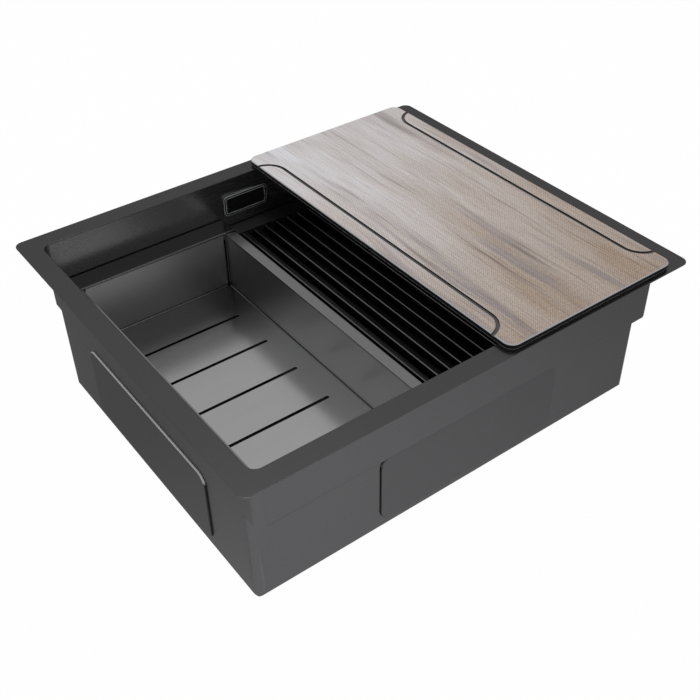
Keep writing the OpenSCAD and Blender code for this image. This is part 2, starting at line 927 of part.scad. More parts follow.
// A round-cornered plate whose upper edges are chamfered all round, from z to z + h
module chamfered_plate(w, l, r, c, z, h) {
    long = l - 2 * r;
    wide = w - 2 * r;
    translate([board_x, 0, z]) {
        linear_extrude(h - c)
            round_rect(w, l, r);
        translate([0, long / 2, h - c])
            rotate([90, 0, 0])
                linear_extrude(long)
                    polygon([[-w / 2, 0], [w / 2, 0], [w / 2 - c, c], [-w / 2 + c, c]]);
        translate([-wide / 2, 0, h - c])
            rotate([90, 0, 90])
                linear_extrude(wide)
                    polygon([[-l / 2, 0], [l / 2, 0], [l / 2 - c, c], [-l / 2 + c, c]]);
        for (x = [-1, 1])
            for (y = [-1, 1])
                translate([x * wide / 2, y * long / 2, h - c])
                    cylinder(r1 = r, r2 = r - c, h = c);
    }
}

// The path of both juice grooves, seen from above, drawn as wide as the grooves
module groove_path() {
    turn_y = board_l / 2 - groove_end;
    for (side = [-1, 1])
        translate([board_x + side * (board_w / 2 - groove_inset), 0]) {
            square([groove_w, 2 * turn_y], center = true);
            for (y = [-1, 1])
                translate([side * groove_r, y * turn_y])
                    intersection() {
                        difference() {
                            circle(groove_r + groove_w / 2, $fn = 96);
                            circle(groove_r - groove_w / 2, $fn = 96);
                        }
                        translate([side > 0 ? -2 * groove_r : 0, y > 0 ? 0 : -2 * groove_r])
                            square(2 * groove_r);
                    }
        }
}

module grooves() {
    translate([0, 0, board_top_z - groove_h])
        linear_extrude(groove_h + 1)
            groove_path();
}

module board_core() {
    color([0.05, 0.05, 0.055])
        difference() {
            translate([board_x, 0, 0])
                round_block(board_w, board_l, board_r, board_z + face_t, board_t - 2 * face_t);
            grooves();
        }
}

// The upper face layer, with its edge chamfered
module face_layer() {
    chamfered_plate(board_w, board_l, board_r, board_chamfer, board_top_z - face_t, face_t);
}

module board_top_layer() {
    color([0.72, 0.68, 0.64])
        difference() {
            face_layer();
            grooves();
        }
}

module board_bottom_layer() {
    color([0.72, 0.68, 0.64])
        translate([0, 0, board_z + board_top_z])
            mirror([0, 0, 1])
                face_layer();
}

// ---- Assembly ----

bowl();
end_pad(-1);  // pad_front
end_pad(1);  // pad_back
side_pad(-1);  // pad_left
side_pad(1);  // pad_right
floor_pad(-1);  // pad_floor_left
floor_pad(1);  // pad_floor_right
overflow_cover();
overflow_bracket();
overflow_screws();
overflow_gasket();
overflow_housing();
overflow_hose();
hose_clip_top();
hose_clip_bottom();
flange_seal();
strainer_pot();
outlet_seal();
outlet_body();
centre_screw();
basket_cup();
basket_knob();
basket_seal();
basket_clip();
tray();
mat_strip_front();
mat_strip_back();
for (i = [1:bars])
    mat_bar(i);
board_core();
board_top_layer();
board_bottom_layer();
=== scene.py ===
"""Looks of a workstation kitchen sink: bowl, sound pads, overflow, outlet, basket, tray, mat and board.

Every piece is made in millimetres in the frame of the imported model: +X along the sink to the right,
+Y to the back, +Z up, with the origin in the centre of the worktop cut-out. The finishes and the
studio measure in metres.
"""

import logging
import math
from collections.abc import Callable, Iterable, Mapping, Sequence
from dataclasses import dataclass
from enum import Enum
from typing import Any

import bmesh
import bpy
from mathutils import Euler, Matrix, Vector


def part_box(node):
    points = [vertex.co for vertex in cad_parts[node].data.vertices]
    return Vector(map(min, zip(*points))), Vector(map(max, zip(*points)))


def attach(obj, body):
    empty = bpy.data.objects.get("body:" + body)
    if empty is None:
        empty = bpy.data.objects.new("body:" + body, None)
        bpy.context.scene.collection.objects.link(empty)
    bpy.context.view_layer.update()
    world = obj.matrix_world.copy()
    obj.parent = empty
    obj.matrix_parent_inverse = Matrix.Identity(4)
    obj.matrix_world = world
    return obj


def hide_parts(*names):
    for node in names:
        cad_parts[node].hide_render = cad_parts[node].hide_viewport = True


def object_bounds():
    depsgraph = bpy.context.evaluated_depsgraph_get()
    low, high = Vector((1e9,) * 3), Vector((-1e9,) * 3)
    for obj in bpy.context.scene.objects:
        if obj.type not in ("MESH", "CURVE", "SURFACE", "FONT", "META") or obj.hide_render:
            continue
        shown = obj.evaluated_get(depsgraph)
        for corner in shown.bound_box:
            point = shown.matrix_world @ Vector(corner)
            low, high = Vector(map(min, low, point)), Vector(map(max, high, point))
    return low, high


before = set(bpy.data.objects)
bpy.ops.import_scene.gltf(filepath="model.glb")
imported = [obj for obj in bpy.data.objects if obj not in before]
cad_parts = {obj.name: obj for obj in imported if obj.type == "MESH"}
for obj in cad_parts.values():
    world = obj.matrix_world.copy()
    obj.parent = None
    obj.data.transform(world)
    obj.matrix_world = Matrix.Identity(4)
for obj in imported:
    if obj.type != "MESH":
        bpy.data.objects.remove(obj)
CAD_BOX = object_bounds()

Number = int | float
Point = tuple[float, float, float]
Colour = tuple[float, float, float]
Band = tuple[float, float]
Profile = list[tuple[float, float]]

MM = 0.001

# How close corners lie that are merged, in millimetres: on new forms and on copies of CAD nodes.
NEW_WELD = 0.001
CAD_WELD = 0.002
# How flat neighbours lie that become one face of a CAD node's copy, in degrees.
CAD_FLAT = 1.0
# How close two places lie that count as one, in millimetres.
NEAR = 0.01

# The sockets of a Mix node that mixes colours.
MIX_FIRST, MIX_SECOND, MIX_RESULT = 6, 7, 2

# How squarely a face looks along an axis: where that begins to count, and where it counts in full.
SQUARE_ON: Band = (0.6, 0.8)

log = logging.getLogger("sink")


class Body(Enum):
    """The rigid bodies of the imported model."""

    SINK = "sink"
    BASKET = "basket"
    TRAY = "tray"
    MAT = "mat"
    BOARD = "board"


class Along(Enum):
    """The direction of an axis, and of brush lines or grain."""

    X = 0
    Y = 1
    Z = 2

    def turn(self) -> Matrix:
        """The rotation that brings +Z to this direction."""
        return {
            Along.X: Matrix.Rotation(math.pi / 2, 4, "Y"),
            Along.Y: Matrix.Rotation(-math.pi / 2, 4, "X"),
            Along.Z: Matrix.Identity(4),
        }[self]

    def stretch(self, along: float, across: float) -> Point:
        """One number in this direction, another in the two others."""
        return tuple(along if i == self.value else across for i in range(3))


# ---- Shader expressions ----


class Value:
    """A node's output that can stand in sums, products and powers, each of which adds a Math node."""

    def __init__(self, shader: "Shader", socket: bpy.types.NodeSocket) -> None:
        """Wraps an output socket of one of the shader's nodes."""
        self.shader = shader
        self.socket = socket

    def math(
        self, operation: str, *others: "Value | Number", first: "Value | Number | None" = None
    ) -> "Value":
        """One Math node.

        Args:
            operation: The node's operation.
            others: What follows the first operand.
            first: The first operand, where it isn't this value.

        Returns:
            The node's output.
        """
        operands = (self if first is None else first, *others)
        return self.shader.node("ShaderNodeMath", {"operation": operation}, dict(enumerate(operands)))

    def __add__(self, other: "Value | Number") -> "Value":
        """self + other."""
        return self.math("ADD", other)

    __radd__ = __add__

    def __sub__(self, other: "Value | Number") -> "Value":
        """self - other."""
        return self.math("SUBTRACT", other)

    def __rsub__(self, other: "Value | Number") -> "Value":
        """other - self."""
        return self.math("SUBTRACT", self, first=other)

    def __mul__(self, other: "Value | Number") -> "Value":
        """self * other."""
        return self.math("MULTIPLY", other)

    __rmul__ = __mul__

    def __pow__(self, other: "Value | Number") -> "Value":
        """self to a power."""
        return self.math("POWER", other)

    def __abs__(self) -> "Value":
        """The value without its sign."""
        return self.math("ABSOLUTE")

    def above(self, low: float, high: float) -> "Value":
        """A smooth step from 0 at low to 1 at high, which may also be the lesser of the two."""
        settings = {"interpolation_type": "SMOOTHSTEP"}
        return self.shader.node(
            "ShaderNodeMapRange", settings, {"Value": self, "From Min": low, "From Max": high}
        )


def about(mean: float, *swings: tuple[Value, float]) -> Value:
    """A value that noises move about a mean.

    Args:
        mean: The value where each noise is at 0.5.
        swings: Each noise, with how far the value moves between the noise's 0 and 1.

    Returns:
        The value.
    """
    base = mean - sum(reach for _, reach in swings) / 2
    return sum(noise * reach for noise, reach in swings) + base


@dataclass(frozen=True)
class Spots:
    """A noise: its spots in a metre along X, Y and Z, its octaves and the share of the finer ones."""

    scale: Point
    octaves: float = 2.0
    rough: float = 0.5


class Shader:
    """The node tree of a material or of the world, written as expressions."""

    def __init__(self, owner: bpy.types.Material | bpy.types.World) -> None:
        """Starts with an empty tree.

        Args:
            owner: The material or world that the tree belongs to.
        """
        owner.use_nodes = True
        self.owner = owner
        self.tree = owner.node_tree
        self.tree.nodes.clear()

    def node(
        self,
        kind: str,
        settings: Mapping[str, Any],
        inputs: Mapping[int | str, Any],
        output: int | str | None = 0,
    ) -> Value | None:
        """Adds a node.

        Args:
            kind: The node's type.
            settings: Its settings, which are set first.
            inputs: What goes into its sockets: values, or numbers and colours.
            output: The socket to take, None for an end of the tree.

        Returns:
            That output.
        """
        made = self.tree.nodes.new(kind)
        for name, setting in settings.items():
            setattr(made, name, setting)
        for name, given in inputs.items():
            if isinstance(given, Value):
                self.tree.links.new(given.socket, made.inputs[name])
            else:
                made.inputs[name].default_value = given
        return None if output is None else Value(self, made.outputs[output])

    def place(self) -> Value:
        """The place on the object, in metres."""
        return self.node("ShaderNodeTexCoord", {}, {}, "Object")

    def ray(self, kind: str) -> Value:
        """1 for rays of a kind, such as Camera or Glossy, and 0 for others."""
        return self.node("ShaderNodeLightPath", {}, {}, f"Is {kind} Ray")

    def part(self, vector: Value, along: Along) -> Value:
        """One component of a vector."""
        return self.node("ShaderNodeSeparateXYZ", {}, {"Vector": vector}, along.value)

    def vectors(self, operation: str, first: Value, second: Value | Point, output: str = "Vector") -> Value:
        """One Vector Math node."""
        settings = {"operation": operation}
        return self.node("ShaderNodeVectorMath", settings, {0: first, 1: second}, output)

    def facing(self, along: Along) -> Value:
        """How squarely the surface faces along a direction, from -1 to 1."""
        normal = self.node("ShaderNodeNewGeometry", {}, {}, "Normal")
        return self.part(normal, along)

    def noise(self, place: Value, spots: Spots) -> Value:
        """A noise about 0.5.

        Args:
            place: The place, in metres.
            spots: How the noise looks.

        Returns:
            The noise.
        """
        scaled = self.vectors("MULTIPLY", place, spots.scale)
        inputs = {"Vector": scaled, "Scale": 1.0, "Detail": spots.octaves, "Roughness": spots.rough}
        return self.node("ShaderNodeTexNoise", {}, inputs)

    def blend(self, factor: Value | Number, first: Value | Colour, second: Value | Colour) -> Value:
        """A mix of two colours.

        Args:
            factor: 0 for the first, 1 for the second.
            first: A colour.
            second: A colour.

        Returns:
            The mixed colour.
        """
        a, b = (c if isinstance(c, Value) else (*c, 1.0) for c in (first, second))
        settings = {"data_type": "RGBA", "clamp_factor": True}
        return self.node("ShaderNodeMix", settings, {0: factor, MIX_FIRST: a, MIX_SECOND: b}, MIX_RESULT)

    def bump(self, height: Value, depth: float, strength: float = 0.5) -> Value:
        """A normal that follows a height.

        Args:
            height: 0 for low, 1 for high.
            depth: What 1 is worth, in metres.
            strength: Share of the effect.

        Returns:
            The normal.
        """
        return self.node("ShaderNodeBump", {}, {"Height": height, "Distance": depth, "Strength": strength})

    def surface(self, **inputs: Any) -> bpy.types.Material:
        """Ends the tree in a Principled surface.

        Args:
            inputs: Its sockets, with _ for each space.

        Returns:
            The material.
        """
        named = {name.replace("_", " "): given for name, given in inputs.items()}
        self.end(self.node("ShaderNodeBsdfPrincipled", {}, named))
        return self.owner

    def white(self, kind: str, strength: Value) -> Value:
        """A white glow: Emission for a material, Background for the world."""
        return self.node(f"ShaderNode{kind}", {}, {"Color": (1.0, 1.0, 1.0, 1.0), "Strength": strength})

    def end(self, surface: Value, kind: str = "Material") -> None:
        """Links a surface to the output of the tree of a Material or the World."""
        self.node(f"ShaderNodeOutput{kind}", {}, {"Surface": surface}, None)


# ---- Finishes ----

MADE: dict["Finish", bpy.types.Material] = {}


@dataclass(frozen=True)
class Finish:
    """What every finish has: the name of its material and its mean colour."""

    slot: str
    colour: Colour

    def material(self) -> bpy.types.Material:
        """The finish's material, made once.

        Returns:
            The material.
        """
        if self not in MADE:
            MADE[self] = self.build(Shader(bpy.data.materials.new(self.slot)))
        return MADE[self]

    def build(self, shader: Shader) -> bpy.types.Material:
        """Makes the material; each finish has its own."""
        raise NotImplementedError

    def drifting(self, shader: Shader, noise: Value, shades: Band) -> Value:
        """The mean colour, drifting with a noise between a darker and a lighter shade.

        Args:
            shader: The material's tree.
            noise: 0 for the first shade, 1 for the second.
            shades: The shades, as shares of the mean colour.

        Returns:
            The colour.
        """
        darker, lighter = (tuple(min(1.0, c * shade) for c in self.colour) for shade in shades)
        return shader.blend(noise, darker, lighter)


@dataclass(frozen=True)
class BrushedSheet(Finish):
    """Coated sheet steel with fine brush lines that run level along walls and along one way on flats."""

    roughness: float = 0.27
    shades: Band = (0.94, 1.06)
    graze: float = 0.45
    flat_along: Along = Along.X
    fine: float = 1400.0
    long: float = 9.0
    line_depth: float = 0.000012
    line_strength: float = 0.6
    line_shade: float = 0.6
    line_rough: float = 0.08
    cloud: Spots = Spots((7.0, 7.0, 9.0), 4, 0.55)
    cloud_shade: float = 0.4
    cloud_rough: float = 0.10
    shade_band: Band = (0.2, 0.8)
    leaves_wall: Band = (0.05, 0.2)
    nears_flat: Band = (0.95, 0.995)

    def brush(self, shader: Shader, place: Value) -> Value:
        """The height of the brush lines: along Y on walls that face X, as the finish says elsewhere.

        Args:
            shader: The material's tree.
            place: The place, in metres.

        Returns:
            The height, about 0.5.
        """
        side, flat = (
            shader.noise(place, Spots(along.stretch(self.long, self.fine), 3))
            for along in (Along.Y, self.flat_along)
        )
        on_side = abs(shader.facing(Along.X)).above(*SQUARE_ON)
        return flat * (1 - on_side) + side * on_side

    def painted_shading(self, shader: Shader, place: Value, colour: Value) -> Value:
        """The colour with painted light and shade; unchanged unless a finish paints some."""
        return colour

    def rougher(self, shader: Shader) -> Value | Number:
        """What the roughness gains on parts that were not polished; nothing unless a finish says so."""
        return 0.0

    def bends(self, shader: Shader) -> Value:
        """1 on folds between a flat and a wall, 0 on both."""
        level = abs(shader.facing(Along.Z))
        return level.above(*self.leaves_wall) * (1 - level.above(*self.nears_flat))

    def build(self, shader: Shader) -> bpy.types.Material:
        """Brush lines in the bump, lines and clouds in the roughness and the colour.

        Args:
            shader: The material's tree.

        Returns:
            The material.
        """
        place = shader.place()
        lines = self.brush(shader, place)
        cloud = shader.noise(place, self.cloud)
        shade = (lines * self.line_shade + cloud * self.cloud_shade).above(*self.shade_band)
        rough = about(self.roughness, (lines, self.line_rough), (cloud, self.cloud_rough))
        return shader.surface(
            Base_Color=self.painted_shading(shader, place, self.drifting(shader, shade, self.shades)),
            Metallic=1.0,
            Specular_Tint=(self.graze,) * 3 + (1.0,),
            Roughness=rough + self.rougher(shader),
            Normal=shader.bump(lines, self.line_depth, self.line_strength),
        )


@dataclass(frozen=True)
class BowlSheet(BrushedSheet):
    """The bowl's sheet: walls inside painted paler, rim and folds painted darker.

    The paler inside is painted light, the darker rim and folds are painted shade, and the undersides
    of the folds are painted paler as painted light. The heights, and the bands for walls that face the
    sink's middle or away from it, are in metres; the last two say how far a face looks up or down.
    """

    # Painted light: the walls inside are painted much paler than the sheet outside.
    inside: Colour = (0.42, 0.42, 0.423)
    # Painted shade: the rim's top is painted darker than the sheet.
    rim: Colour = (0.098, 0.098, 0.100)
    # Painted shade: folds at the rim and folds that look up are painted dark.
    fold: Colour = (0.055, 0.055, 0.056)
    # Painted light: the undersides of the folds are painted paler.
    under_fold: Colour = (0.26, 0.26, 0.264)
    rim_height: Band = (0.0007, 0.0012)
    fold_height: Band = (-0.002, 0.0)
    inward: Band = (0.05, 0.15)
    outward: Band = (0.0, 0.05)
    upward: Band = (0.05, 0.2)
    downward: Band = (0.1, 0.4)

    def painted_shading(self, shader: Shader, place: Value, colour: Value) -> Value:
        """The colour with painted light inside and under the folds, and painted shade on the rim and folds.

        Args:
            shader: The material's tree.
            place: The place, in metres.
            colour: The colour outside.

        Returns:
            The colour.
        """
        away = sum(shader.part(place, along) * shader.facing(along) for along in (Along.X, Along.Y))
        # Painted light: walls that face the sink's middle take the paler inside colour.
        colour = shader.blend((away * -1).above(*self.inward), colour, self.inside)
        bends = self.bends(shader)
        up = shader.facing(Along.Z)
        # Painted light: folds that look down are painted paler.
        colour = shader.blend((up * -1).above(*self.downward) * bends, colour, self.under_fold)
        height = shader.part(place, Along.Z)
        # Painted shade: the rim is painted darker.
        colour = shader.blend(height.above(*self.rim_height), colour, self.rim)
        # Painted shade: the folds at the rim and the upward folds are painted dark, except outside.
        where = height.above(*self.fold_height).math("MAXIMUM", up.above(*self.upward))
        return shader.blend(where * bends * (1 - away.above(*self.outward)), colour, self.fold)


@dataclass(frozen=True)
class TraySheet(BrushedSheet):
    """The tray's sheet: bright on the floor, duller on its walls, with painted light and shade.

    The floor is painted darker towards the back as a painted shadow; the walls facing front and back
    are painted paler as painted light; the folds, lips and grips are painted dark as painted shade.
    Heights and reaches are in metres.
    """

    wall: Colour = (0.46, 0.46, 0.465)
    # end_wall: painted light, the walls that face front and back painted paler than the others.
    end_wall: Colour = (0.64, 0.64, 0.645)
    # fold and side_fold: painted shade on the folds.
    fold: Colour = (0.075, 0.075, 0.076)
    side_fold: Colour = (0.15, 0.15, 0.152)
    # The next colour is a painted shadow on the floor towards the back.
    floor_shadow: Colour = (0.105, 0.105, 0.107)
    # lip and grip: painted shade, darker copies of the steel on the top edges.
    lip: Colour = (0.26, 0.26, 0.263)
    grip: Colour = (0.08, 0.08, 0.082)
    floor_shadow_reach: Band = (0.07, 0.16)
    grip_reach: Band = (0.199, 0.2)
    lip_height: Band = (-0.056, -0.055)
    level: Band = (0.3, 0.9)
    sideways: Band = (0.1, 0.3)
    wall_rougher: float = 0.13

    def rougher(self, shader: Shader) -> Value:
        """More on the walls, which see less scouring than the floor."""
        return (1 - abs(shader.facing(Along.Z)).above(*self.level)) * self.wall_rougher

    def painted_shading(self, shader: Shader, place: Value, colour: Value) -> Value:
        """The colour of floor, walls, folds, lips and grips, with painted light and shade.

        Args:
            shader: The material's tree.
            place: The place, in metres.
            colour: The steel's colour on the bright floor.

        Returns:
            The colour.
        """
        facing = {along: abs(shader.facing(along)) for along in Along}
        back = shader.part(place, Along.Y)
        # Painted shadow: the floor darker towards the back.
        floor = shader.blend(back.above(*self.floor_shadow_reach), colour, self.floor_shadow)
        # Painted light: walls facing front and back paler.
        walls = shader.blend(facing[Along.Y].above(*SQUARE_ON), self.wall, self.end_wall)
        sheet = shader.blend(facing[Along.Z].above(*self.level), walls, floor)
        # Painted shade: the folds dark, less dark on folds that face sideways.
        folds = shader.blend(facing[Along.X].above(*self.sideways), self.fold, self.side_fold)
        sheet = shader.blend(self.bends(shader), sheet, folds)
        # Painted shade: lips and grips darker than the floor.
        top = shader.blend(abs(back).above(*self.grip_reach), self.lip, self.grip)
        return shader.blend(shader.part(place, Along.Z).above(*self.lip_height), sheet, top)


@dataclass(frozen=True)
class PolishedSteel(Finish):
    """Plain steel, turned or stamped and then polished, with faint smears and marks of handling."""

    roughness: float = 0.21
    shades: Band = (0.92, 1.06)
    smear: Spots = Spots((90.0, 90.0, 40.0), 5, 0.6)
    smear_rough: float = 0.16
    marks: Spots = Spots((2600.0, 2600.0, 300.0))
    marks_rough: float = 0.06
    marks_depth: float = 0.000006

    def build(self, shader: Shader) -> bpy.types.Material:
        """Smears in the colour and the roughness, marks in the bump.

        Args:
            shader: The material's tree.

        Returns:
            The material.
        """
        place = shader.place()
        smear = shader.noise(place, self.smear)
        marks = shader.noise(place, self.marks)
        return shader.surface(
            Base_Color=self.drifting(shader, smear, self.shades),
            Metallic=1.0,
            Roughness=about(self.roughness, (smear, self.smear_rough), (marks, self.marks_rough)),
            Normal=shader.bump(marks, self.marks_depth),
        )


@dataclass(frozen=True)
class CoatedPlate(Finish):
    """A black plate that faces the front: black coating on the flat, two painted highlight lines round it.
    """

    centre: Point = (0.0, 0.0, 0.0)
    half: tuple[float, float] = (0.03, 0.01)
    corner: float = 0.005
    # Painted highlight: the pale, less metallic colour of the two lines round the plate.
    edge: Colour = (0.85, 0.86, 0.87)
    lines: tuple[float, float] = (0.0004, 0.0034)
    line_half: float = 0.0005
    line_gain: float = 1.6
    line_dull: float = 0.8
    front: Band = (-0.3, -0.7)
    roughness: float = 0.28
    grain: Spots = Spots(Along.X.stretch(30.0, 1600.0), 3)
    grain_rough: float = 0.12
    grain_depth: float = 0.000008

    def inset(self, shader: Shader) -> Value:
        """How far a place lies inside the plate's round-cornered outline.

        Args:
            shader: The material's tree.

        Returns:
            The distance, in metres.
        """
        place = shader.place()
        past = []
        for along, half in zip((Along.X, Along.Z), self.half):
            off = abs(shader.part(place, along) - self.centre[along.value])
            past.append((off - (half - self.corner)).math("MAXIMUM", 0.0))
        return self.corner - sum(side * side for side in past) ** 0.5

    def build(self, shader: Shader) -> bpy.types.Material:
        """Two painted highlight lines, along the outline and a little further in.

        Args:
            shader: The material's tree.

        Returns:
            The material.
        """
        inset, half = self.inset(shader), self.line_half
        lines = sum(inset.above(d - half, d) * (1 - inset.above(d, d + half)) for d in self.lines)
        on_face = shader.facing(Along.Y).above(*self.front)
        line = (lines * self.line_gain).math("MINIMUM", 1.0) * on_face
        grain = shader.noise(shader.place(), self.grain)
        return shader.surface(
            # Painted highlight: two lines along the outline, pale and less metallic.
            Base_Color=shader.blend(line, self.colour, self.edge),
            Metallic=1 - line * self.line_dull,
            Roughness=about(self.roughness, (grain, self.grain_rough)),
            Normal=shader.bump(grain, self.grain_depth),
        )


@dataclass(frozen=True)
class Moulded(Finish):
    """Rubber, silicone or plastic from a mould, with a fine grain."""

    roughness: float = 0.55
    shades: Band = (0.85, 1.18)
    grain: float = 1800.0
    grain_rough: float = 0.08
    grain_depth: float = 0.00003
    dust: Spots = Spots((28.0, 28.0, 28.0), 5, 0.6)
    dust_rough: float = 0.16
    gloss: float = 0.5
    # Where given, a paler colour painted on faces that look up: painted light.
    upward: Colour | None = None
    up: Band = (0.6, 0.9)

    def build(self, shader: Shader) -> bpy.types.Material:
        """Grain in the bump, dust and handling in the colour and the roughness.

        Args:
            shader: The material's tree.

        Returns:
            The material.
        """
        place = shader.place()
        grain = shader.noise(place, Spots((self.grain,) * 3))
        dust = shader.noise(place, self.dust)
        colour = self.drifting(shader, dust, self.shades)
        # Painted light: faces that look up take the paler colour.
        if self.upward is not None:
            colour = shader.blend(shader.facing(Along.Z).above(*self.up), colour, self.upward)
        return shader.surface(
            Base_Color=colour,
            Roughness=about(self.roughness, (dust, self.dust_rough), (grain, self.grain_rough)),
            Specular_IOR_Level=self.gloss,
            Normal=shader.bump(grain, self.grain_depth),
        )


@dataclass(frozen=True)
class PaintedPad(Finish):
    """A sound-deadening pad: face sprayed like the bowl, cut side black, upward side painted paler as
    painted light.
    """

    face_along: Along = Along.Y
    side: Colour = (0.008, 0.008, 0.008)
    # top: painted light on the upward cut side; on the side pads a painted highlight.
    top: Colour = (0.14, 0.14, 0.142)
    face: Band = (0.80, 0.93)
    upward: Band = (0.15, 0.40)
    shades: Band = (0.9, 1.08)
    graze: float = 0.55
    roughness: float = 0.40
    peel: Spots = Spots((420.0, 420.0, 420.0), 3)
    peel_rough: float = 0.10
    peel_depth: float = 0.00004
    cloud: Spots = Spots((9.0, 9.0, 9.0), 4)
    cloud_rough: float = 0.08

    def build(self, shader: Shader) -> bpy.types.Material:
        """Metallic spray on the face, with a soft orange peel.

        Args:
            shader: The material's tree.

        Returns:
            The material.
        """
        place = shader.place()
        peel = shader.noise(place, self.peel)
        cloud = shader.noise(place, self.cloud)
        on_face = abs(shader.facing(self.face_along)).above(*self.face)
        # Painted light: the cut side that looks up is painted paler than the black sides.
        side = shader.blend(shader.facing(Along.Z).above(*self.upward), self.side, self.top)
        return shader.surface(
            Base_Color=shader.blend(on_face, side, self.drifting(shader, cloud, self.shades)),
            Metallic=on_face,
            Specular_Tint=(self.graze,) * 3 + (1.0,),
            Roughness=about(self.roughness, (peel, self.peel_rough), (cloud, self.cloud_rough)),
            Normal=shader.bump(peel, self.peel_depth),
        )


@dataclass(frozen=True)
class Grain:
    """One layer of a wood's grain along Y: its spots in a metre, its octaves and where it shows."""

    across: float
    along: float
    octaves: float
    band: Band
    rough: float = 0.62

    def noise(self, shader: Shader, place: Value) -> Value:
        """The layer's noise, about 0.5."""
        return shader.noise(place, Spots((self.across, self.along, 1.0), self.octaves, self.rough))

    def mask(self, shader: Shader, place: Value) -> Value:
        """1 where the layer shows in full, 0 where it doesn't."""
        return self.noise(shader, place).above(*self.band)


@dataclass(frozen=True)
class WoodFace(Finish):
    """A laminate with a limed oak print, its grain along Y, and a fine linen emboss.

    The print drifts at random between warm and cool bands. A cool, pale sheen is painted at one corner
    and fades to the warm print at the other: a painted reflection. The streaks and the linen's shade
    fade where it is pale. Its chamfer is painted pale as a painted highlight, and the cut sides and
    groove walls are dark like the core. Distances are in metres.
    """

    warm: Colour = (0.495, 0.378, 0.285)
    cool: Colour = (0.80, 0.79, 0.825)
    streak: Colour = (0.17, 0.115, 0.08)
    smoke: Colour = (0.27, 0.255, 0.29)
    # chamfer: a painted highlight along the face's edge.
    chamfer: Colour = (0.42, 0.43, 0.45)
    cut: Colour = (0.028, 0.028, 0.030)
    # Painted reflection: a cool, pale sheen painted at this corner, over this reach and share.
    sheen_corner: Point = (0.03, 0.24, 0.0)
    sheen_reach: Band = (0.0, 0.54)
    sheen_share: float = 0.84
    drift: Grain = Grain(16.0, 3.0, 3, (0.36, 0.64))
    drift_share: float = 0.26
    tone_base: float = -0.06
    sway: Spots = Spots((4.0, 4.0, 1.0))
    sway_width: float = 0.022
    smoke_patch: Grain = Grain(22.0, 2.6, 2, (0.50, 0.66))
    smoke_line: Grain = Grain(95.0, 3.4, 4, (0.42, 0.60))
    smoke_share: float = 0.75
    line: Grain = Grain(260.0, 5.0, 5, (0.52, 0.66))
    bundle: Grain = Grain(26.0, 4.0, 2, (0.46, 0.62))
    line_share: Band = (0.16, 0.82)
    fibre: Grain = Grain(700.0, 14.0, 4, (0.46, 0.68))
    fibre_share: float = 0.42
    streak_fade: float = 0.5
    weave: float = 2000.0
    weave_share: float = 0.4
    weave_wander: float = 4.0
    weave_band: Band = (0.3, 0.7)
    uneven: Spots = Spots((300.0, 500.0, 1.0))
    linen_shade: float = 0.64
    linen_fade: float = 0.50
    flat: Band = (0.90, 0.985)
    sloping: Band = (0.30, 0.45)
    roughness: float = 0.41
    fibre_rough: float = 0.12
    linen_rough: float = 0.10
    emboss: float = 0.00006

    def waved(self, shader: Shader, place: Value) -> Value:
        """The place pushed sideways a little, so that the grain wanders."""
        sway = (shader.noise(place, self.sway) - 0.5) * self.sway_width
        return shader.vectors("ADD", place, shader.node("ShaderNodeCombineXYZ", {}, {"X": sway}))

    def tone(self, shader: Shader, place: Value) -> Value:
        """How cool the board is: its random bands, and the painted sheen at one corner.

        Args:
            shader: The material's tree.
            place: The waved place, in metres.

        Returns:
            From 0 for warm to 1 for cool.
        """
        # Painted reflection: the cool sheen near one corner.
        off = shader.vectors("DISTANCE", shader.place(), self.sheen_corner, "Value")
        near = 1 - off.above(*self.sheen_reach)
        return near * self.sheen_share + self.drift.mask(shader, place) * self.drift_share + self.tone_base

    def print_colour(self, shader: Shader, place: Value, fibres: Value, tone: Value) -> Value:
        """The printed wood, before the linen's shade.

        Args:
            shader: The material's tree.
            place: The waved place, in metres.
            fibres: The finest layer's noise.
            tone: How cool the print is.

        Returns:
            The colour.
        """
        smoke, line, bundle = (
            layer.mask(shader, place) for layer in (self.smoke_line, self.line, self.bundle)
        )
        smoke = self.smoke_patch.mask(shader, place) * smoke * self.smoke_share
        smoky = shader.blend(smoke, shader.blend(tone, self.warm, self.cool), self.smoke)
        # Streaks fade where the board is cool, most under the painted sheen.
        strong = 1 - tone * self.streak_fade
        low, high = self.line_share
        streaked = shader.blend(line * (bundle * (high - low) + low) * strong, smoky, self.streak)
        fine = fibres.above(*self.fibre.band) * self.fibre_share * strong
        return shader.blend(fine, streaked, self.streak)

    def linen(self, shader: Shader) -> Value:
        """The woven emboss.

        Args:
            shader: The material's tree.

        Returns:
            From 0 for its pits to 1 for its threads.
        """
        place = shader.place()
        uneven = shader.noise(place, self.uneven)
        warp = (shader.part(place, Along.X) * self.weave).math("SINE")
        weft = (shader.part(place, Along.Y) * self.weave + uneven * self.weave_wander).math("SINE")
        return (warp * weft * self.weave_share + uneven).above(*self.weave_band)

    def build(self, shader: Shader) -> bpy.types.Material:
        """Bands and streaks in the colour, fibres and linen in the bump.

        Args:
            shader: The material's tree.

        Returns:
            The material.
        """
        place = self.waved(shader, shader.place())
        fibres = self.fibre.noise(shader, place)
        linen = self.linen(shader)
        tone = self.tone(shader, place)
        print_colour = self.print_colour(shader, place, fibres, tone)
        shade = linen * (self.linen_shade - tone * self.linen_fade)
        wood = shader.blend(shade, print_colour, self.streak)
        level = abs(shader.facing(Along.Z))
        # Painted highlight: the chamfer is painted pale.
        edged = shader.blend(level.above(*self.flat), self.chamfer, wood)
        return shader.surface(
            Base_Color=shader.blend(level.above(*self.sloping), self.cut, edged),
            Roughness=about(self.roughness, (fibres, self.fibre_rough), (linen, self.linen_rough)),
            Normal=shader.bump(fibres * 0.5 + linen * 0.5, self.emboss),
        )


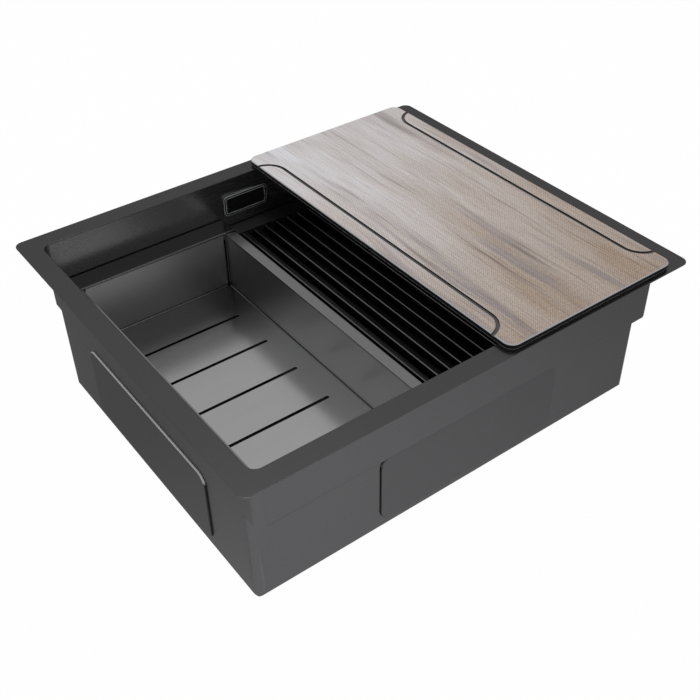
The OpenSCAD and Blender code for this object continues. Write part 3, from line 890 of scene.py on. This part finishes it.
SINK_COAT: Colour = (0.122, 0.122, 0.126)
COVER_COAT: Colour = (0.14, 0.14, 0.142)
GUNMETAL = BowlSheet("gunmetal_steel", SINK_COAT, graze=0.55, line_depth=0.000007)
TRAY_STEEL = TraySheet(
    "tray_steel", (0.49, 0.49, 0.495), roughness=0.20, line_depth=0.00001, shades=(0.95, 1.05)
)
BAR_STEEL = BrushedSheet(
    "bar_steel", (0.16, 0.16, 0.163), roughness=0.22, flat_along=Along.Y, long=14.0
)
BRIGHT_STEEL = PolishedSteel("bright_steel", (0.62, 0.62, 0.61))
BLACK_RUBBER = Moulded("black_rubber", (0.018, 0.018, 0.018), roughness=0.6)
SILICONE = Moulded(
    "black_silicone", (0.010, 0.010, 0.010), roughness=0.48, grain=900.0, grain_depth=0.00002
)
BLACK_PLASTIC = Moulded("black_plastic", (0.022, 0.022, 0.023), roughness=0.45, grain=2600.0)
GREY_PLASTIC = Moulded(
    "grey_plastic", (0.105, 0.105, 0.11), roughness=0.42, grain=3000.0, grain_depth=0.00001
)
BOARD_CORE = Moulded(
    "board_core",
    (0.009, 0.009, 0.010),
    roughness=0.42,
    grain=1400.0,
    gloss=0.15,
    # Painted light: the core's faces that look up, such as the groove floors, are painted paler.
    upward=(0.10, 0.10, 0.105),
)
BOARD_FACE = WoodFace("board_face", (0.45, 0.40, 0.36))
SOUND_PADS = {
    # The side pads' upward edge is painted near white: a painted highlight.
    Along.X: PaintedPad("sound_pad", SINK_COAT, face_along=Along.X, top=(0.66, 0.66, 0.67)),
    Along.Y: PaintedPad("sound_pad", SINK_COAT, face_along=Along.Y),
    Along.Z: PaintedPad("sound_pad", SINK_COAT, face_along=Along.Z),
}


# ---- Meshes ----

# Turns in degrees from which an edge counts as sharp, and as a cut one.
SHARP = 30.0
CUT = 50.0

# The width of a thread's foot as a share of its pitch, and of each flank as a share of its height.
THREAD_FOOT = 0.92
THREAD_FLANK = 0.55


class Form:
    """A mesh in the making, in millimetres."""

    def __init__(self) -> None:
        """Starts empty."""
        self.bm = bmesh.new()

    @classmethod
    def from_cad(cls, node: str) -> "Form":
        """A copy of a CAD node, merged into whole faces.

        Args:
            node: The node's name.

        Returns:
            The copy.
        """
        made = cls()
        made.bm.from_mesh(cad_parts[node].data)
        made.bm.transform(Matrix.Scale(1 / MM, 4))
        bmesh.ops.remove_doubles(made.bm, verts=made.bm.verts, dist=CAD_WELD)
        bmesh.ops.dissolve_limit(
            made.bm, angle_limit=math.radians(CAD_FLAT), verts=made.bm.verts, edges=made.bm.edges
        )
        return made

    def ease(
        self,
        width: float,
        segments: int = 2,
        least: float = SHARP,
        where: Callable[[Vector], bool] | None = None,
        among: Iterable[bmesh.types.BMEdge] | None = None,
    ) -> "Form":
        """Rounds sharp edges.

        Args:
            width: How far the rounding reaches from the edge.
            segments: Number of faces across it.
            least: The least turn that counts as sharp, in degrees.
            where: Which edges, by their middle; all if left out.
            among: The edges to look at; all if left out.

        Returns:
            The form itself.
        """
        turn = math.radians(least)
        edges = [
            edge for edge in (self.bm.edges if among is None else among)
            if len(edge.link_faces) == 2 and edge.calc_face_angle() > turn
        ]
        if where:
            edges = [edge for edge in edges if where((edge.verts[0].co + edge.verts[1].co) / 2)]
        bmesh.ops.bevel(
            self.bm,
            geom=edges,
            offset=width,
            offset_type="OFFSET",
            segments=segments,
            profile=0.5,
            affect="EDGES",
            clamp_overlap=False,
            material=-1,
        )
        return self

    def block(self, size: Point, centre: Point, ease: float = 0.0, segments: int = 3) -> "Form":
        """Adds a block.

        Args:
            size: Its sides.
            centre: Its middle.
            ease: Rounding of its edges.
            segments: Faces across the rounding.

        Returns:
            The form itself.
        """
        matrix = Matrix.Translation(centre) @ Matrix.Diagonal((*size, 1.0))
        made = bmesh.ops.create_cube(self.bm, size=1.0, matrix=matrix)
        if ease:
            edges = {edge for vert in made["verts"] for edge in vert.link_edges}
            self.ease(ease, segments, among=edges)
        return self

    def spun(self, profile: Profile, steps: int, closed: bool = True) -> "Form":
        """Adds a turned shape round the Z axis.

        Args:
            profile: Radius and height of each corner of its half section.
            steps: Number of faces round.
            closed: Whether the half section closes on itself.

        Returns:
            The form itself.
        """
        verts = [self.bm.verts.new((r, 0, z)) for r, z in profile]
        pairs = list(zip(verts, verts[1:]))
        if closed:
            pairs.append((verts[-1], verts[0]))
        edges = [self.bm.edges.new(pair) for pair in pairs]
        bmesh.ops.spin(
            self.bm,
            geom=verts + edges,
            cent=(0, 0, 0),
            axis=(0, 0, 1),
            angle=math.tau,
            steps=steps,
            use_merge=True,
        )
        return self.tidy()

    def thread(
        self, root: float, crest: float, pitch: float, low: float, high: float, steps: int = 40
    ) -> "Form":
        """Adds a screw thread round the Z axis.

        Args:
            root: Radius of its foot.
            crest: Radius of its crest.
            pitch: Rise in one turn.
            low: Its lower end.
            high: Its upper end.
            steps: Number of faces in one turn.

        Returns:
            The form itself.
        """
        half = pitch * THREAD_FOOT / 2
        flank = (crest - root) * THREAD_FLANK
        section = [(root, -half), (crest, -half + flank), (crest, half - flank), (root, half)]
        verts = [self.bm.verts.new((r, 0, low + half + z)) for r, z in section]
        face = self.bm.faces.new(verts)
        turns = (high - low - 2 * half) / pitch
        count = round(turns * steps)
        bmesh.ops.spin(
            self.bm,
            geom=[face],
            cent=(0, 0, 0),
            axis=(0, 0, 1),
            dvec=(0, 0, pitch / steps),
            angle=math.tau * count / steps,
            steps=count,
            use_merge=False,
        )
        return self.tidy()

    def tidy(self) -> "Form":
        """Merges doubles and points the faces outwards.

        Returns:
            The form itself.
        """
        bmesh.ops.remove_doubles(self.bm, verts=self.bm.verts, dist=NEW_WELD)
        bmesh.ops.recalc_face_normals(self.bm, faces=self.bm.faces)
        return self

    def moved(self, matrix: Matrix) -> "Form":
        """Turns and moves the form."""
        bmesh.ops.transform(self.bm, matrix=matrix, verts=self.bm.verts)
        return self

    def joined(self, other: "Form") -> "Form":
        """Takes another form in.

        Args:
            other: The other form, which is used up.

        Returns:
            The form itself.
        """
        mesh = bpy.data.meshes.new("part")
        other.bm.to_mesh(mesh)
        other.bm.free()
        self.bm.from_mesh(mesh)
        bpy.data.meshes.remove(mesh)
        return self

    def piece(
        self,
        name: str,
        body: Body,
        finish: Finish,
        nodes: Sequence[str],
        sharp: float = 32.0,
    ) -> None:
        """Makes the form a piece of the sink.

        Args:
            name: The piece's name.
            body: The body that it rides on.
            finish: Its finish.
            nodes: The CAD nodes that it stands for.
            sharp: Angle in degrees from which edges are shaded sharp.
        """
        mesh = bpy.data.meshes.new(name)
        self.bm.transform(Matrix.Scale(MM, 4))
        self.bm.to_mesh(mesh)
        self.bm.free()
        if "custom_normal" in mesh.attributes:
            mesh.attributes.remove(mesh.attributes["custom_normal"])
        mesh.materials.clear()
        mesh.materials.append(finish.material())
        mesh.polygons.foreach_set("material_index", [0] * len(mesh.polygons))
        mesh.shade_smooth()
        mesh.set_sharp_from_angle(angle=math.radians(sharp))
        made = placed(name, mesh)
        made.modifiers.new("even_shading", "WEIGHTED_NORMAL").keep_sharp = True
        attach(made, body.value)
        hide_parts(*nodes)
        log.info("%s: %d faces on %s", name, len(mesh.polygons), body.value)


def placed(name: str, data: bpy.types.ID) -> bpy.types.Object:
    """Makes an object of a mesh, a light or a camera, and puts it in the scene.

    Args:
        name: Its name.
        data: What it shows.

    Returns:
        The object.
    """
    made = bpy.data.objects.new(name, data)
    bpy.context.scene.collection.objects.link(made)
    return made


def eased(node: str, kind: str, body: Body, finish: Finish, width: float, least: float = CUT) -> None:
    """Makes a piece of a CAD node's own form with its sharp edges rounded.

    Args:
        node: The node's name.
        kind: What the piece is, for the end of its name.
        body: The body that it rides on.
        finish: Its finish.
        width: How far the rounding reaches from an edge.
        least: The least turn that counts as sharp, in degrees.
    """
    Form.from_cad(node).ease(width, 2, least).piece(f"{node}_{kind}", body, finish, [node])


def dress(node: str, finish: Finish) -> None:
    """Gives a CAD node that stays in view its finish.

    Args:
        node: The node's name.
        finish: The finish.
    """
    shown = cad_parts[node]
    for slot in shown.material_slots:
        slot.material = finish.material()
    log.info("%s keeps its CAD form", node)


def span(node: str) -> tuple[Vector, Vector]:
    """The lowest and highest corner of a CAD node, in millimetres."""
    low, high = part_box(node)
    return Vector(low) / MM, Vector(high) / MM


def arc(centre: tuple[float, float], radius: float, start: float, end: float, steps: int) -> Profile:
    """Points on an arc.

    Args:
        centre: Its centre.
        radius: Its radius.
        start: Its first angle in degrees.
        end: Its last angle in degrees.
        steps: Number of stretches.

    Returns:
        The points, both ends included.
    """
    angles = [math.radians(start + (end - start) * i / steps) for i in range(steps + 1)]
    return [(centre[0] + radius * math.cos(a), centre[1] + radius * math.sin(a)) for a in angles]


# ---- Sub-assemblies ----


@dataclass
class Bowl:
    """The folded and welded bowl with its rim, and the pads that quieten it."""

    sheet: float = 1.5
    wall_x: float = 275.0
    wall_y: float = 230.0
    ledge_z: float = -76.0
    corner: float = 13.0
    slack: float = 0.1
    fold: float = 1.1
    cut_edge: float = 0.35
    pad_edge: float = 1.5
    pads: tuple[tuple[str, Along], ...] = (
        ("pad_front", Along.Y),
        ("pad_back", Along.Y),
        ("pad_left", Along.X),
        ("pad_right", Along.X),
        ("pad_floor_left", Along.Z),
        ("pad_floor_right", Along.Z),
    )

    def is_fold(self, middle: Vector) -> bool:
        """Whether an edge is one of the folds at the rim or the ledges, whose ends stay sharp.

        Args:
            middle: The middle of the edge.

        Returns:
            Whether it is.
        """
        levels = (self.sheet, 0, self.ledge_z, self.ledge_z - self.sheet)
        at_level = min(abs(middle.z - level) for level in levels) < NEAR
        past = self.sheet + self.slack
        past_x = past if middle.z > -self.sheet else -self.corner
        return at_level and abs(middle.x) < self.wall_x + past_x and abs(middle.y) < self.wall_y + past

    def pad(self, node: str, face: Along) -> None:
        """One pad, with the edges of its outer face rounded.

        Args:
            node: The pad's node.
            face: The axis that its face looks along.
        """
        outer = max((corner[face.value] for corner in span(node)), key=abs)
        pad = Form.from_cad(node)
        pad.ease(self.pad_edge, 3, CUT, where=lambda middle: abs(middle[face.value] - outer) < NEAR)
        pad.piece(f"{node}_sheet", Body.SINK, SOUND_PADS[face], [node])

    def build(self) -> None:
        """Makes the bowl and its pads."""
        shell = Form.from_cad("bowl")
        shell.ease(self.fold, 3, where=self.is_fold)
        shell.ease(self.cut_edge, 2, CUT)
        shell.piece("bowl_shell", Body.SINK, GUNMETAL, ["bowl"])
        for node, face in self.pads:
            self.pad(node, face)


@dataclass
class Overflow:
    """The overflow: cover and bracket inside, gasket and housing outside, and its screws."""

    cover_corner: float = 5.5
    cover_edge: float = 0.8
    bracket_edge: float = 0.2
    housing_edge: float = 0.5
    screw_pitch: float = 42.0
    screw_r: float = 2.0
    screw_root: float = 0.8
    tip_r: float = 0.6
    tip_h: float = 1.0
    thread_h: float = 0.25
    thread_pitch: float = 0.9
    head_h: float = 1.4
    dome_r: float = 0.8
    dome_h: float = 0.5
    dome_top: float = 0.1

    def cover(self) -> None:
        """The black cover with its dressed edge."""
        low, high = span("overflow_cover")
        reach = (high - low) / 2 * MM
        finish = CoatedPlate(
            "black_steel",
            COVER_COAT,
            centre=tuple((low + high) / 2 * MM),
            half=(reach.x, reach.z),
            corner=self.cover_corner * MM,
        )
        cover = Form.from_cad("overflow_cover")
        cover.ease(self.cover_edge, 2, CUT, where=lambda middle: middle.y < low.y + NEAR)
        cover.piece("overflow_cover_plate", Body.SINK, finish, ["overflow_cover"])

    def screw(self, length: float, head_r: float) -> Form:
        """A threaded screw with a domed head, its tip at the origin.

        Args:
            length: Its whole length.
            head_r: The radius of its head.

        Returns:
            The screw.
        """
        r, under = self.screw_r, length - self.head_h
        screw = Form().spun([
            (0, 0), (r * self.tip_r, 0), (r, self.tip_h), (r, under), (head_r, under),
            (head_r, length - self.dome_h), (head_r * self.dome_r, length - self.dome_top), (0, length),
        ], 32, closed=False)
        low, high = self.tip_h, under - self.tip_h
        return screw.thread(r * self.screw_root, r + self.thread_h, self.thread_pitch, low, high, 24)

    def screws(self) -> None:
        """The two screws."""
        low, high = span("overflow_screws")
        middle = (low + high) / 2
        both = Form()
        for side in (-1, 1):
            place = Matrix.Translation((middle.x + side * self.screw_pitch / 2, high.y, middle.z))
            screw = self.screw(high.y - low.y, (high.z - low.z) / 2)
            both.joined(screw.moved(place @ Matrix.Rotation(math.pi / 2, 4, "X")))
        both.piece("overflow_screw_pair", Body.SINK, BRIGHT_STEEL, ["overflow_screws"])

    def build(self) -> None:
        """Makes all pieces of the overflow."""
        self.cover()
        self.screws()
        eased("overflow_bracket", "plate", Body.SINK, BRIGHT_STEEL, self.bracket_edge, least=SHARP)
        eased("overflow_housing", "shell", Body.SINK, BLACK_PLASTIC, self.housing_edge)
        dress("overflow_gasket", BLACK_RUBBER)


@dataclass
class Hose:
    """The ribbed hose from the overflow to the outlet, and the two clips that hold it."""

    start_x: float = 3.0
    start_y: float = 242.5
    top_z: float = -48.7
    port_z: float = -229.0
    end_y: float = 124.2
    bend_r: float = 35.0
    rib_pitch: float = 5.0
    rib_r: float = 10.1
    rib_steps: int = 8
    rib_round: float = 0.6
    valley_r: float = 8.9
    cuff_r: float = 9.2
    cuff_l: float = 21.0
    cuff_edge: float = 0.5
    cuff_lead: float = 0.4
    bore_r: float = 7.5
    bore_steps: int = 48
    sides: int = 32
    clip_w: float = 8.0
    clip_gap: float = 0.1
    clip_steps: int = 48
    band_t: float = 0.9
    notches: int = 22
    notch_start: float = 70.0
    notch_pitch: float = 10.0
    notch_slant: float = 0.35
    notch: Point = (0.25, 0.9, 4.8)
    notch_edge: float = 0.1
    saddle: Point = (4.2, 5.6, 7.8)
    saddle_edge: float = 0.5
    saddle_out: float = 2.6
    worm_r: float = 2.4
    worm_out: float = 5.4
    worm_low: float = -4.4
    worm_high: float = 2.6
    worm_edge: float = 0.4
    worm_shift: float = 0.6
    worm_head_r: float = 3.1
    worm_head_z: float = 4.0
    worm_head_lead: float = 0.3

    @property
    def drop(self) -> float:
        """Length of the straight drop."""
        return self.top_z - self.port_z - self.bend_r

    @property
    def length(self) -> float:
        """Length along the hose's middle."""
        run = self.start_y - self.bend_r - self.end_y
        return self.drop + self.bend_r * math.pi / 2 + run

    def frame_at(self, s: float) -> Matrix:
        """The place and turn of the hose's section.

        Args:
            s: Distance along the hose.

        Returns:
            A matrix whose Z runs along the hose.
        """
        share = min(1.0, max(0.0, (s - self.cuff_l) / (self.length - 2 * self.cuff_l)))
        x = self.start_x * (1 - share * share * (3 - 2 * share))
        turn = min(math.pi / 2, max(0.0, (s - self.drop) / self.bend_r))
        past = max(0.0, s - self.drop - self.bend_r * math.pi / 2)
        y = self.start_y - self.bend_r * (1 - math.cos(turn)) - past
        z = self.top_z - min(s, self.drop) - self.bend_r * math.sin(turn)
        return Matrix.Translation((x, y, z)) @ Matrix.Rotation(math.pi - turn, 4, "X")

    def profile(self) -> Profile:
        """Half section of the straight hose: cuffs, round ribs and bore.

        Returns:
            Radius and height of each corner.
        """
        end, cuff, edge = self.length, self.cuff_r, self.cuff_edge
        ribs = math.floor((end - 2 * self.cuff_l) / self.rib_pitch)
        step = (end - 2 * self.cuff_l) / ribs
        middle, swing = (self.rib_r + self.valley_r) / 2, (self.rib_r - self.valley_r) / 2
        points = [(self.bore_r, 0), (cuff - self.cuff_lead, 0), (cuff, edge), (cuff, self.cuff_l - edge)]
        for i in range(ribs * self.rib_steps + 1):
            wave = -math.cos(math.tau * i / self.rib_steps)
            crisp = math.copysign(abs(wave) ** self.rib_round, wave)
            points.append((middle + swing * crisp, self.cuff_l + step * i / self.rib_steps))
        points += [(cuff, end - self.cuff_l + edge), (cuff, end - edge), (cuff - self.cuff_lead, end)]
        steps = self.bore_steps
        return points + [(self.bore_r, end - end * i / steps) for i in range(steps)]

    def hose(self) -> None:
        """The hose: turned straight, then bent to its route."""
        tube = Form().spun(self.profile(), self.sides)
        for vert in tube.bm.verts:
            vert.co = self.frame_at(vert.co.z) @ Vector((vert.co.x, vert.co.y, 0))
        tube.tidy().piece("overflow_hose_ribbed", Body.SINK, GREY_PLASTIC, ["overflow_hose"], sharp=70)

    def worm(self) -> Form:
        """A clip's worm screw with its head, along Z.

        Returns:
            The screw.
        """
        r, low, edge = self.worm_r, self.worm_low, self.worm_edge
        head_r, head_z = self.worm_head_r, self.worm_head_z
        return Form().spun([
            (0, low), (r - edge, low), (r, low + edge), (r, self.worm_high), (head_r, self.worm_high),
            (head_r, head_z - edge), (head_r - self.worm_head_lead, head_z), (0, head_z),
        ], 24, closed=False)

    def clip(self, name: str, node: str, place: Matrix) -> None:
        """A worm-drive clip: notched band, saddle and worm screw.

        Args:
            name: The piece's name.
            node: The node that it stands for.
            place: Where it goes; the band's axis is Z.
        """
        inner, half = self.cuff_r + self.clip_gap, self.clip_w / 2
        outer = inner + self.band_t
        clip = Form().spun([(inner, -half), (outer, -half), (outer, half), (inner, half)], self.clip_steps)
        for i in range(self.notches):
            angle = math.radians(self.notch_start + i * self.notch_pitch)
            notch = Form().block(self.notch, (outer, 0, 0), self.notch_edge, 1)
            slant = Matrix.Rotation(self.notch_slant, 4, "X")
            clip.joined(notch.moved(Matrix.Rotation(angle, 4, "Z") @ slant))
        clip.joined(Form().block(self.saddle, (inner + self.saddle_out, 0, 0), self.saddle_edge))
        seat = Matrix.Translation((inner + self.worm_out, -self.worm_shift, 0))
        clip.joined(self.worm().moved(seat @ Matrix.Rotation(math.pi / 2, 4, "X")))
        clip.moved(place).piece(name, Body.SINK, BRIGHT_STEEL, [node])

    def build(self) -> None:
        """Makes the hose and its clips."""
        self.hose()
        band = self.cuff_r + self.clip_gap + self.band_t
        low, high = span("hose_clip_top")
        upright = Matrix.Translation((low.x + band, low.y + band, (low.z + high.z) / 2))
        self.clip("hose_clip_upper", "hose_clip_top", upright @ Along.Z.turn())
        low, high = span("hose_clip_bottom")
        level = Matrix.Translation((low.x + band, (low.y + high.y) / 2, low.z + band))
        self.clip("hose_clip_lower", "hose_clip_bottom", level @ Along.Y.turn())


@dataclass
class Outlet:
    """The strainer waste under the bowl: pot, seals, threaded body and centre screw."""

    axis_y: float = 70.0
    seat_r: float = 58.5
    top_z: float = -206.5
    flange_t: float = 4.0
    body_r: float = 48.0
    bore_r: float = 45.0
    cone_z: float = -241.0
    cone_h: float = 13.5
    edge: float = 0.5
    fillet: float = 1.5
    tail_r: float = 23.9
    tail_bore: float = 20.0
    tail_z: float = -284.5
    tail_lead: float = 0.8
    neck_out: float = 1.2
    thread_pitch: float = 2.31
    thread_h: float = 0.9
    thread_sunk: float = 0.05
    thread_start: float = 1.0
    thread_stop: float = 1.5
    port_z: float = -229.0
    port_y: float = 54.0
    port_boss_r: float = 10.4
    port_edge: float = 0.6
    spigot_end: float = 71.0
    spigot_r: float = 7.4
    spigot_bore: float = 5.8
    spigot_lead: float = 0.8
    spigot_taper: float = 1.0
    spider_top: float = -262.5
    spider_h: float = 7.0
    spider_w: float = 5.0
    hub_r: float = 7.0
    hub_bore: float = 3.2
    hub_edge: float = 0.4
    pot_edge: float = 0.3
    screw_edge: float = 0.4

    def moulding(self) -> Form:
        """Flange, cup, cone and threaded tail.

        Returns:
            The form, on the Z axis.
        """
        root = self.tail_r - self.thread_h
        top, flange = self.top_z, self.top_z - self.flange_t
        cone_end = self.cone_z - self.cone_h
        thick = self.body_r - self.bore_r
        neck = cone_end - thick
        edge, fillet, lead = self.edge, self.fillet, self.tail_lead
        shell = Form().spun([
            (self.bore_r, top), (self.seat_r - edge, top), (self.seat_r, top - edge),
            (self.seat_r, flange + edge), (self.seat_r - edge, flange), (self.body_r + fillet, flange),
            (self.body_r, flange - fillet), (self.body_r, self.cone_z - thick),
            (self.tail_r + self.neck_out, neck + lead / 2), (self.tail_r, neck - lead / 2),
            (root, neck - lead), (root, self.tail_z + lead), (root - lead, self.tail_z),
            (self.tail_bore, self.tail_z), (self.tail_bore, cone_end), (self.bore_r, self.cone_z),
        ], 96)
        low, high = self.tail_z + self.thread_start, neck - self.thread_stop
        return shell.thread(root - self.thread_sunk, self.tail_r, self.thread_pitch, low, high)

    def spider(self) -> Form:
        """The cross in the tail, with the hub that the centre screw enters.

        Returns:
            The form, on the Z axis.
        """
        top, under = self.spider_top, self.spider_top - self.spider_h
        r, bore, edge = self.hub_r, self.hub_bore, self.hub_edge
        cross = Form()
        for angle in (0, math.pi / 2):
            size = (2 * (self.tail_bore + self.edge), self.spider_w, self.spider_h)
            arm = Form().block(size, (0, 0, (top + under) / 2), self.edge)
            cross.joined(arm.moved(Matrix.Rotation(angle, 4, "Z")))
        hub = Form().spun([(bore, under), (r - edge, under), (r, under + edge), (r, top), (bore, top)], 32)
        return cross.joined(hub)

    def port(self) -> Form:
        """The port that takes the overflow hose, tapered at its end.

        Returns:
            The form, along Y at its height.
        """
        start = (self.body_r + self.bore_r) / 2
        boss, r, bore, end = self.port_boss_r, self.spigot_r, self.spigot_bore, self.spigot_end
        port = Form().spun([
            (bore, start), (boss, start), (boss, self.port_y - self.port_edge),
            (boss - self.port_edge, self.port_y), (r, self.port_y), (r, end - self.spigot_taper),
            (r - self.spigot_lead, end), (bore, end),
        ], 48)
        return port.moved(Matrix.Translation((0, 0, self.port_z)) @ Along.Y.turn())

    def build(self) -> None:
        """Makes the outlet's pieces."""
        body = self.moulding().joined(self.spider()).joined(self.port())
        body.moved(Matrix.Translation((0, self.axis_y, 0)))
        body.piece("outlet_body_moulding", Body.SINK, BLACK_PLASTIC, ["outlet_body"])
        eased("strainer_pot", "pressing", Body.SINK, BRIGHT_STEEL, self.pot_edge)
        eased("centre_screw", "turned", Body.SINK, BRIGHT_STEEL, self.screw_edge)
        dress("flange_seal", BLACK_RUBBER)
        dress("outlet_seal", BLACK_RUBBER)


@dataclass
class Basket:
    """The lift-out basket: perforated cup, turned knob, rubber stopper and its spring clip."""

    axis_y: float = 70.0
    knob_r: float = 9.0
    knob_round: float = 3.2
    grip_h: float = 5.4
    neck_z: float = 13.0
    neck_round: float = 5.2
    neck_end: float = 12.0
    stem_r: float = 3.0
    foot_r: float = 6.0
    foot_h: float = 1.5
    foot_edge: float = 0.4
    cup_edge: float = 0.22
    seal_edge: float = 0.8

    def knob(self) -> None:
        """The grip knob, turned from bar."""
        low, high = span("basket_knob")
        h, r = high.z - low.z, self.knob_r
        hollow = self.foot_r - self.stem_r
        profile = [(0, 0), (self.foot_r - self.foot_edge, 0), (self.foot_r, self.foot_edge)]
        profile += [(self.foot_r, self.foot_h)]
        profile += arc((self.foot_r, self.foot_h + hollow), hollow, 270, 180, 6)
        profile += [(self.stem_r, h - self.neck_z)]
        profile += arc((self.stem_r + self.neck_round, h - self.neck_end), self.neck_round, 180, 110, 8)
        profile += [(r, h - self.grip_h)]
        profile += arc((r - self.knob_round, h - self.knob_round), self.knob_round, 0, 90, 8)
        profile += [(0, h)]
        knob = Form().spun(profile, 64, closed=False)
        knob.moved(Matrix.Translation((0, self.axis_y, low.z)))
        knob.piece("basket_knob_turned", Body.BASKET, BRIGHT_STEEL, ["basket_knob"])

    def build(self) -> None:
        """Makes the basket's pieces."""
        self.knob()
        eased("basket_cup", "pressing", Body.BASKET, BRIGHT_STEEL, self.cup_edge)
        seal = Form.from_cad("basket_seal").ease(self.seal_edge, 3, CUT)
        seal.piece("basket_stopper", Body.BASKET, BLACK_RUBBER, ["basket_seal"])
        dress("basket_clip", BRIGHT_STEEL)


@dataclass
class Tray:
    """The drop-in tray, folded from one slotted sheet."""

    edge: float = 0.35
    least: float = 40.0

    def build(self) -> None:
        """Makes the tray."""
        eased("tray", "folded", Body.TRAY, TRAY_STEEL, self.edge, self.least)


@dataclass
class Mat:
    """The roll-out mat: steel bars in two silicone strips."""

    bars: int = 16
    bar_edge: float = 1.6
    bar_end: float = 1.0
    strip_edge: float = 0.5

    def bar(self, number: int) -> None:
        """One bar, its long edges round.

        Args:
            number: The bar's number, from the left.
        """
        node = f"mat_bar_{number}"
        low, high = span(node)
        first, last = low.y + self.bar_end, high.y - self.bar_end
        bar = Form().block(tuple(high - low), tuple((low + high) / 2))
        bar.ease(self.bar_edge, 5, where=lambda middle: first < middle.y < last)
        bar.piece(f"{node}_tube", Body.MAT, BAR_STEEL, [node])

    def build(self) -> None:
        """Makes the mat."""
        for number in range(1, self.bars + 1):
            self.bar(number)
        for end in ("front", "back"):
            eased(f"mat_strip_{end}", "moulding", Body.MAT, SILICONE, self.strip_edge)


@dataclass
class Board:
    """The cutting board: a dark core between two wood faces, with a juice groove along each long side."""

    core_edge: float = 0.25
    face_edge: float = 0.15

    def build(self) -> None:
        """Makes the board."""
        eased("board_core", "sheet", Body.BOARD, BOARD_CORE, self.core_edge)
        for side in ("top", "bottom"):
            eased(f"board_{side}_layer", "wood", Body.BOARD, BOARD_FACE, self.face_edge, SHARP)


# ---- Studio ----


@dataclass
class Studio:
    """Pale floor, even soft light and the camera at the photograph's place."""

    camera_at: Point = (-0.5798, -0.8012, 0.6675)
    camera_turn: Point = (50.618, 0.766, -36.741)
    lens: float = 52.58
    sensor: float = 36.0
    nearest: float = 0.01
    floor_size: float = 12.0
    floor_gap: float = 0.0005
    floor_white: Colour = (0.86, 0.86, 0.86)
    seen_glow: float = 0.985
    mirrored_glow: float = 0.92
    # A painted pool of light on the floor, seen only in reflections.
    pool_scale: Point = (0.8, 1.5, 0.0)
    pool_at: Point = (-0.33, -0.60, 0.0)
    pool: float = 0.98
    pool_edge: float = 0.50
    pool_band: Band = (0.2, 0.95)
    horizon: float = 0.80
    ceiling: float = 0.58
    top: float = 0.75
    horizon_band: Band = (0.05, 0.45)
    top_band: Band = (0.75, 0.95)
    softbox_at: Point = (0.0, 0.22, 1.60)
    softbox_to: Point = (0.0, 0.05, 0.0)
    softbox_size: float = 0.6
    softbox_power: float = 5.5

    def camera(self) -> None:
        """The camera."""
        data = bpy.data.cameras.new("camera")
        data.lens = self.lens
        data.sensor_width = self.sensor
        data.clip_start = self.nearest
        camera = placed("camera", data)
        camera.location = self.camera_at
        camera.rotation_euler = Euler([math.radians(a) for a in self.camera_turn], "XYZ")
        bpy.context.scene.camera = camera

    def floor_finish(self) -> bpy.types.Material:
        """White where the camera sees it, with a faint shadow; in the metal, a painted pool of light on
        grey.

        Returns:
            The material.
        """
        shader = Shader(bpy.data.materials.new("studio_floor"))
        seen, mirrored, through = (shader.ray(kind) for kind in ("Camera", "Glossy", "Transmission"))
        matt = shader.node("ShaderNodeBsdfDiffuse", {}, {"Color": (*self.floor_white, 1.0)})
        # Painted light: in reflections the floor is brightest in a pool near the sink's front-left.
        place = shader.vectors("MULTIPLY", shader.place(), self.pool_scale)
        off = shader.vectors("DISTANCE", place, self.pool_at, "Value")
        pool = self.pool_edge + (1 - off.above(*self.pool_band)) * (self.pool - self.pool_edge)
        glow = shader.white("Emission", seen + (1 - seen) * pool)
        share = (seen * self.seen_glow).math("MAXIMUM", (mirrored + through) * self.mirrored_glow)
        shader.end(shader.node("ShaderNodeMixShader", {}, {0: share, 1: matt, 2: glow}))
        return shader.owner

    def floor(self) -> None:
        """The floor, just below the sink."""
        bm = bmesh.new()
        bmesh.ops.create_grid(bm, x_segments=1, y_segments=1, size=self.floor_size / 2)
        bmesh.ops.translate(bm, verts=bm.verts, vec=(0, 0, CAD_BOX[0].z - self.floor_gap))
        mesh = bpy.data.meshes.new("floor")
        bm.to_mesh(mesh)
        bm.free()
        mesh.materials.append(self.floor_finish())
        placed("floor", mesh)

    def world(self) -> None:
        """Soft light, bright at the horizon and overhead, and white where the camera sees it."""
        shader = Shader(bpy.data.worlds.new("studio"))
        up = shader.part(shader.node("ShaderNodeTexCoord", {}, {}, "Generated"), Along.Z)
        level = self.ceiling + (1 - up.above(*self.horizon_band)) * (self.horizon - self.ceiling)
        level = level + up.above(*self.top_band) * (self.top - self.ceiling)
        seen = shader.ray("Camera")
        shader.end(shader.white("Background", level * (1 - seen) + seen), "World")
        bpy.context.scene.world = shader.owner

    def softbox(self) -> None:
        """The softbox overhead."""
        data = bpy.data.lights.new("softbox_overhead", "AREA")
        data.shape = "SQUARE"
        data.size = self.softbox_size
        data.energy = self.softbox_power
        lamp = placed("softbox_overhead", data)
        lamp.location = self.softbox_at
        aim = Vector(self.softbox_to) - Vector(self.softbox_at)
        lamp.rotation_euler = aim.to_track_quat("-Z", "Y").to_euler()

    def build(self) -> None:
        """Sets the studio up."""
        bpy.context.scene.view_settings.view_transform = "Standard"
        self.camera()
        self.floor()
        self.world()
        self.softbox()


def main() -> None:
    """Builds the studio and every sub-assembly, and reports them."""
    logging.basicConfig(level=logging.INFO, format="%(name)s: %(message)s")
    for part in (Studio(), Bowl(), Overflow(), Hose(), Outlet(), Basket(), Tray(), Mat(), Board()):
        log.info("building %s", type(part).__name__)
        part.build()


if __name__ == "__main__":
    main()
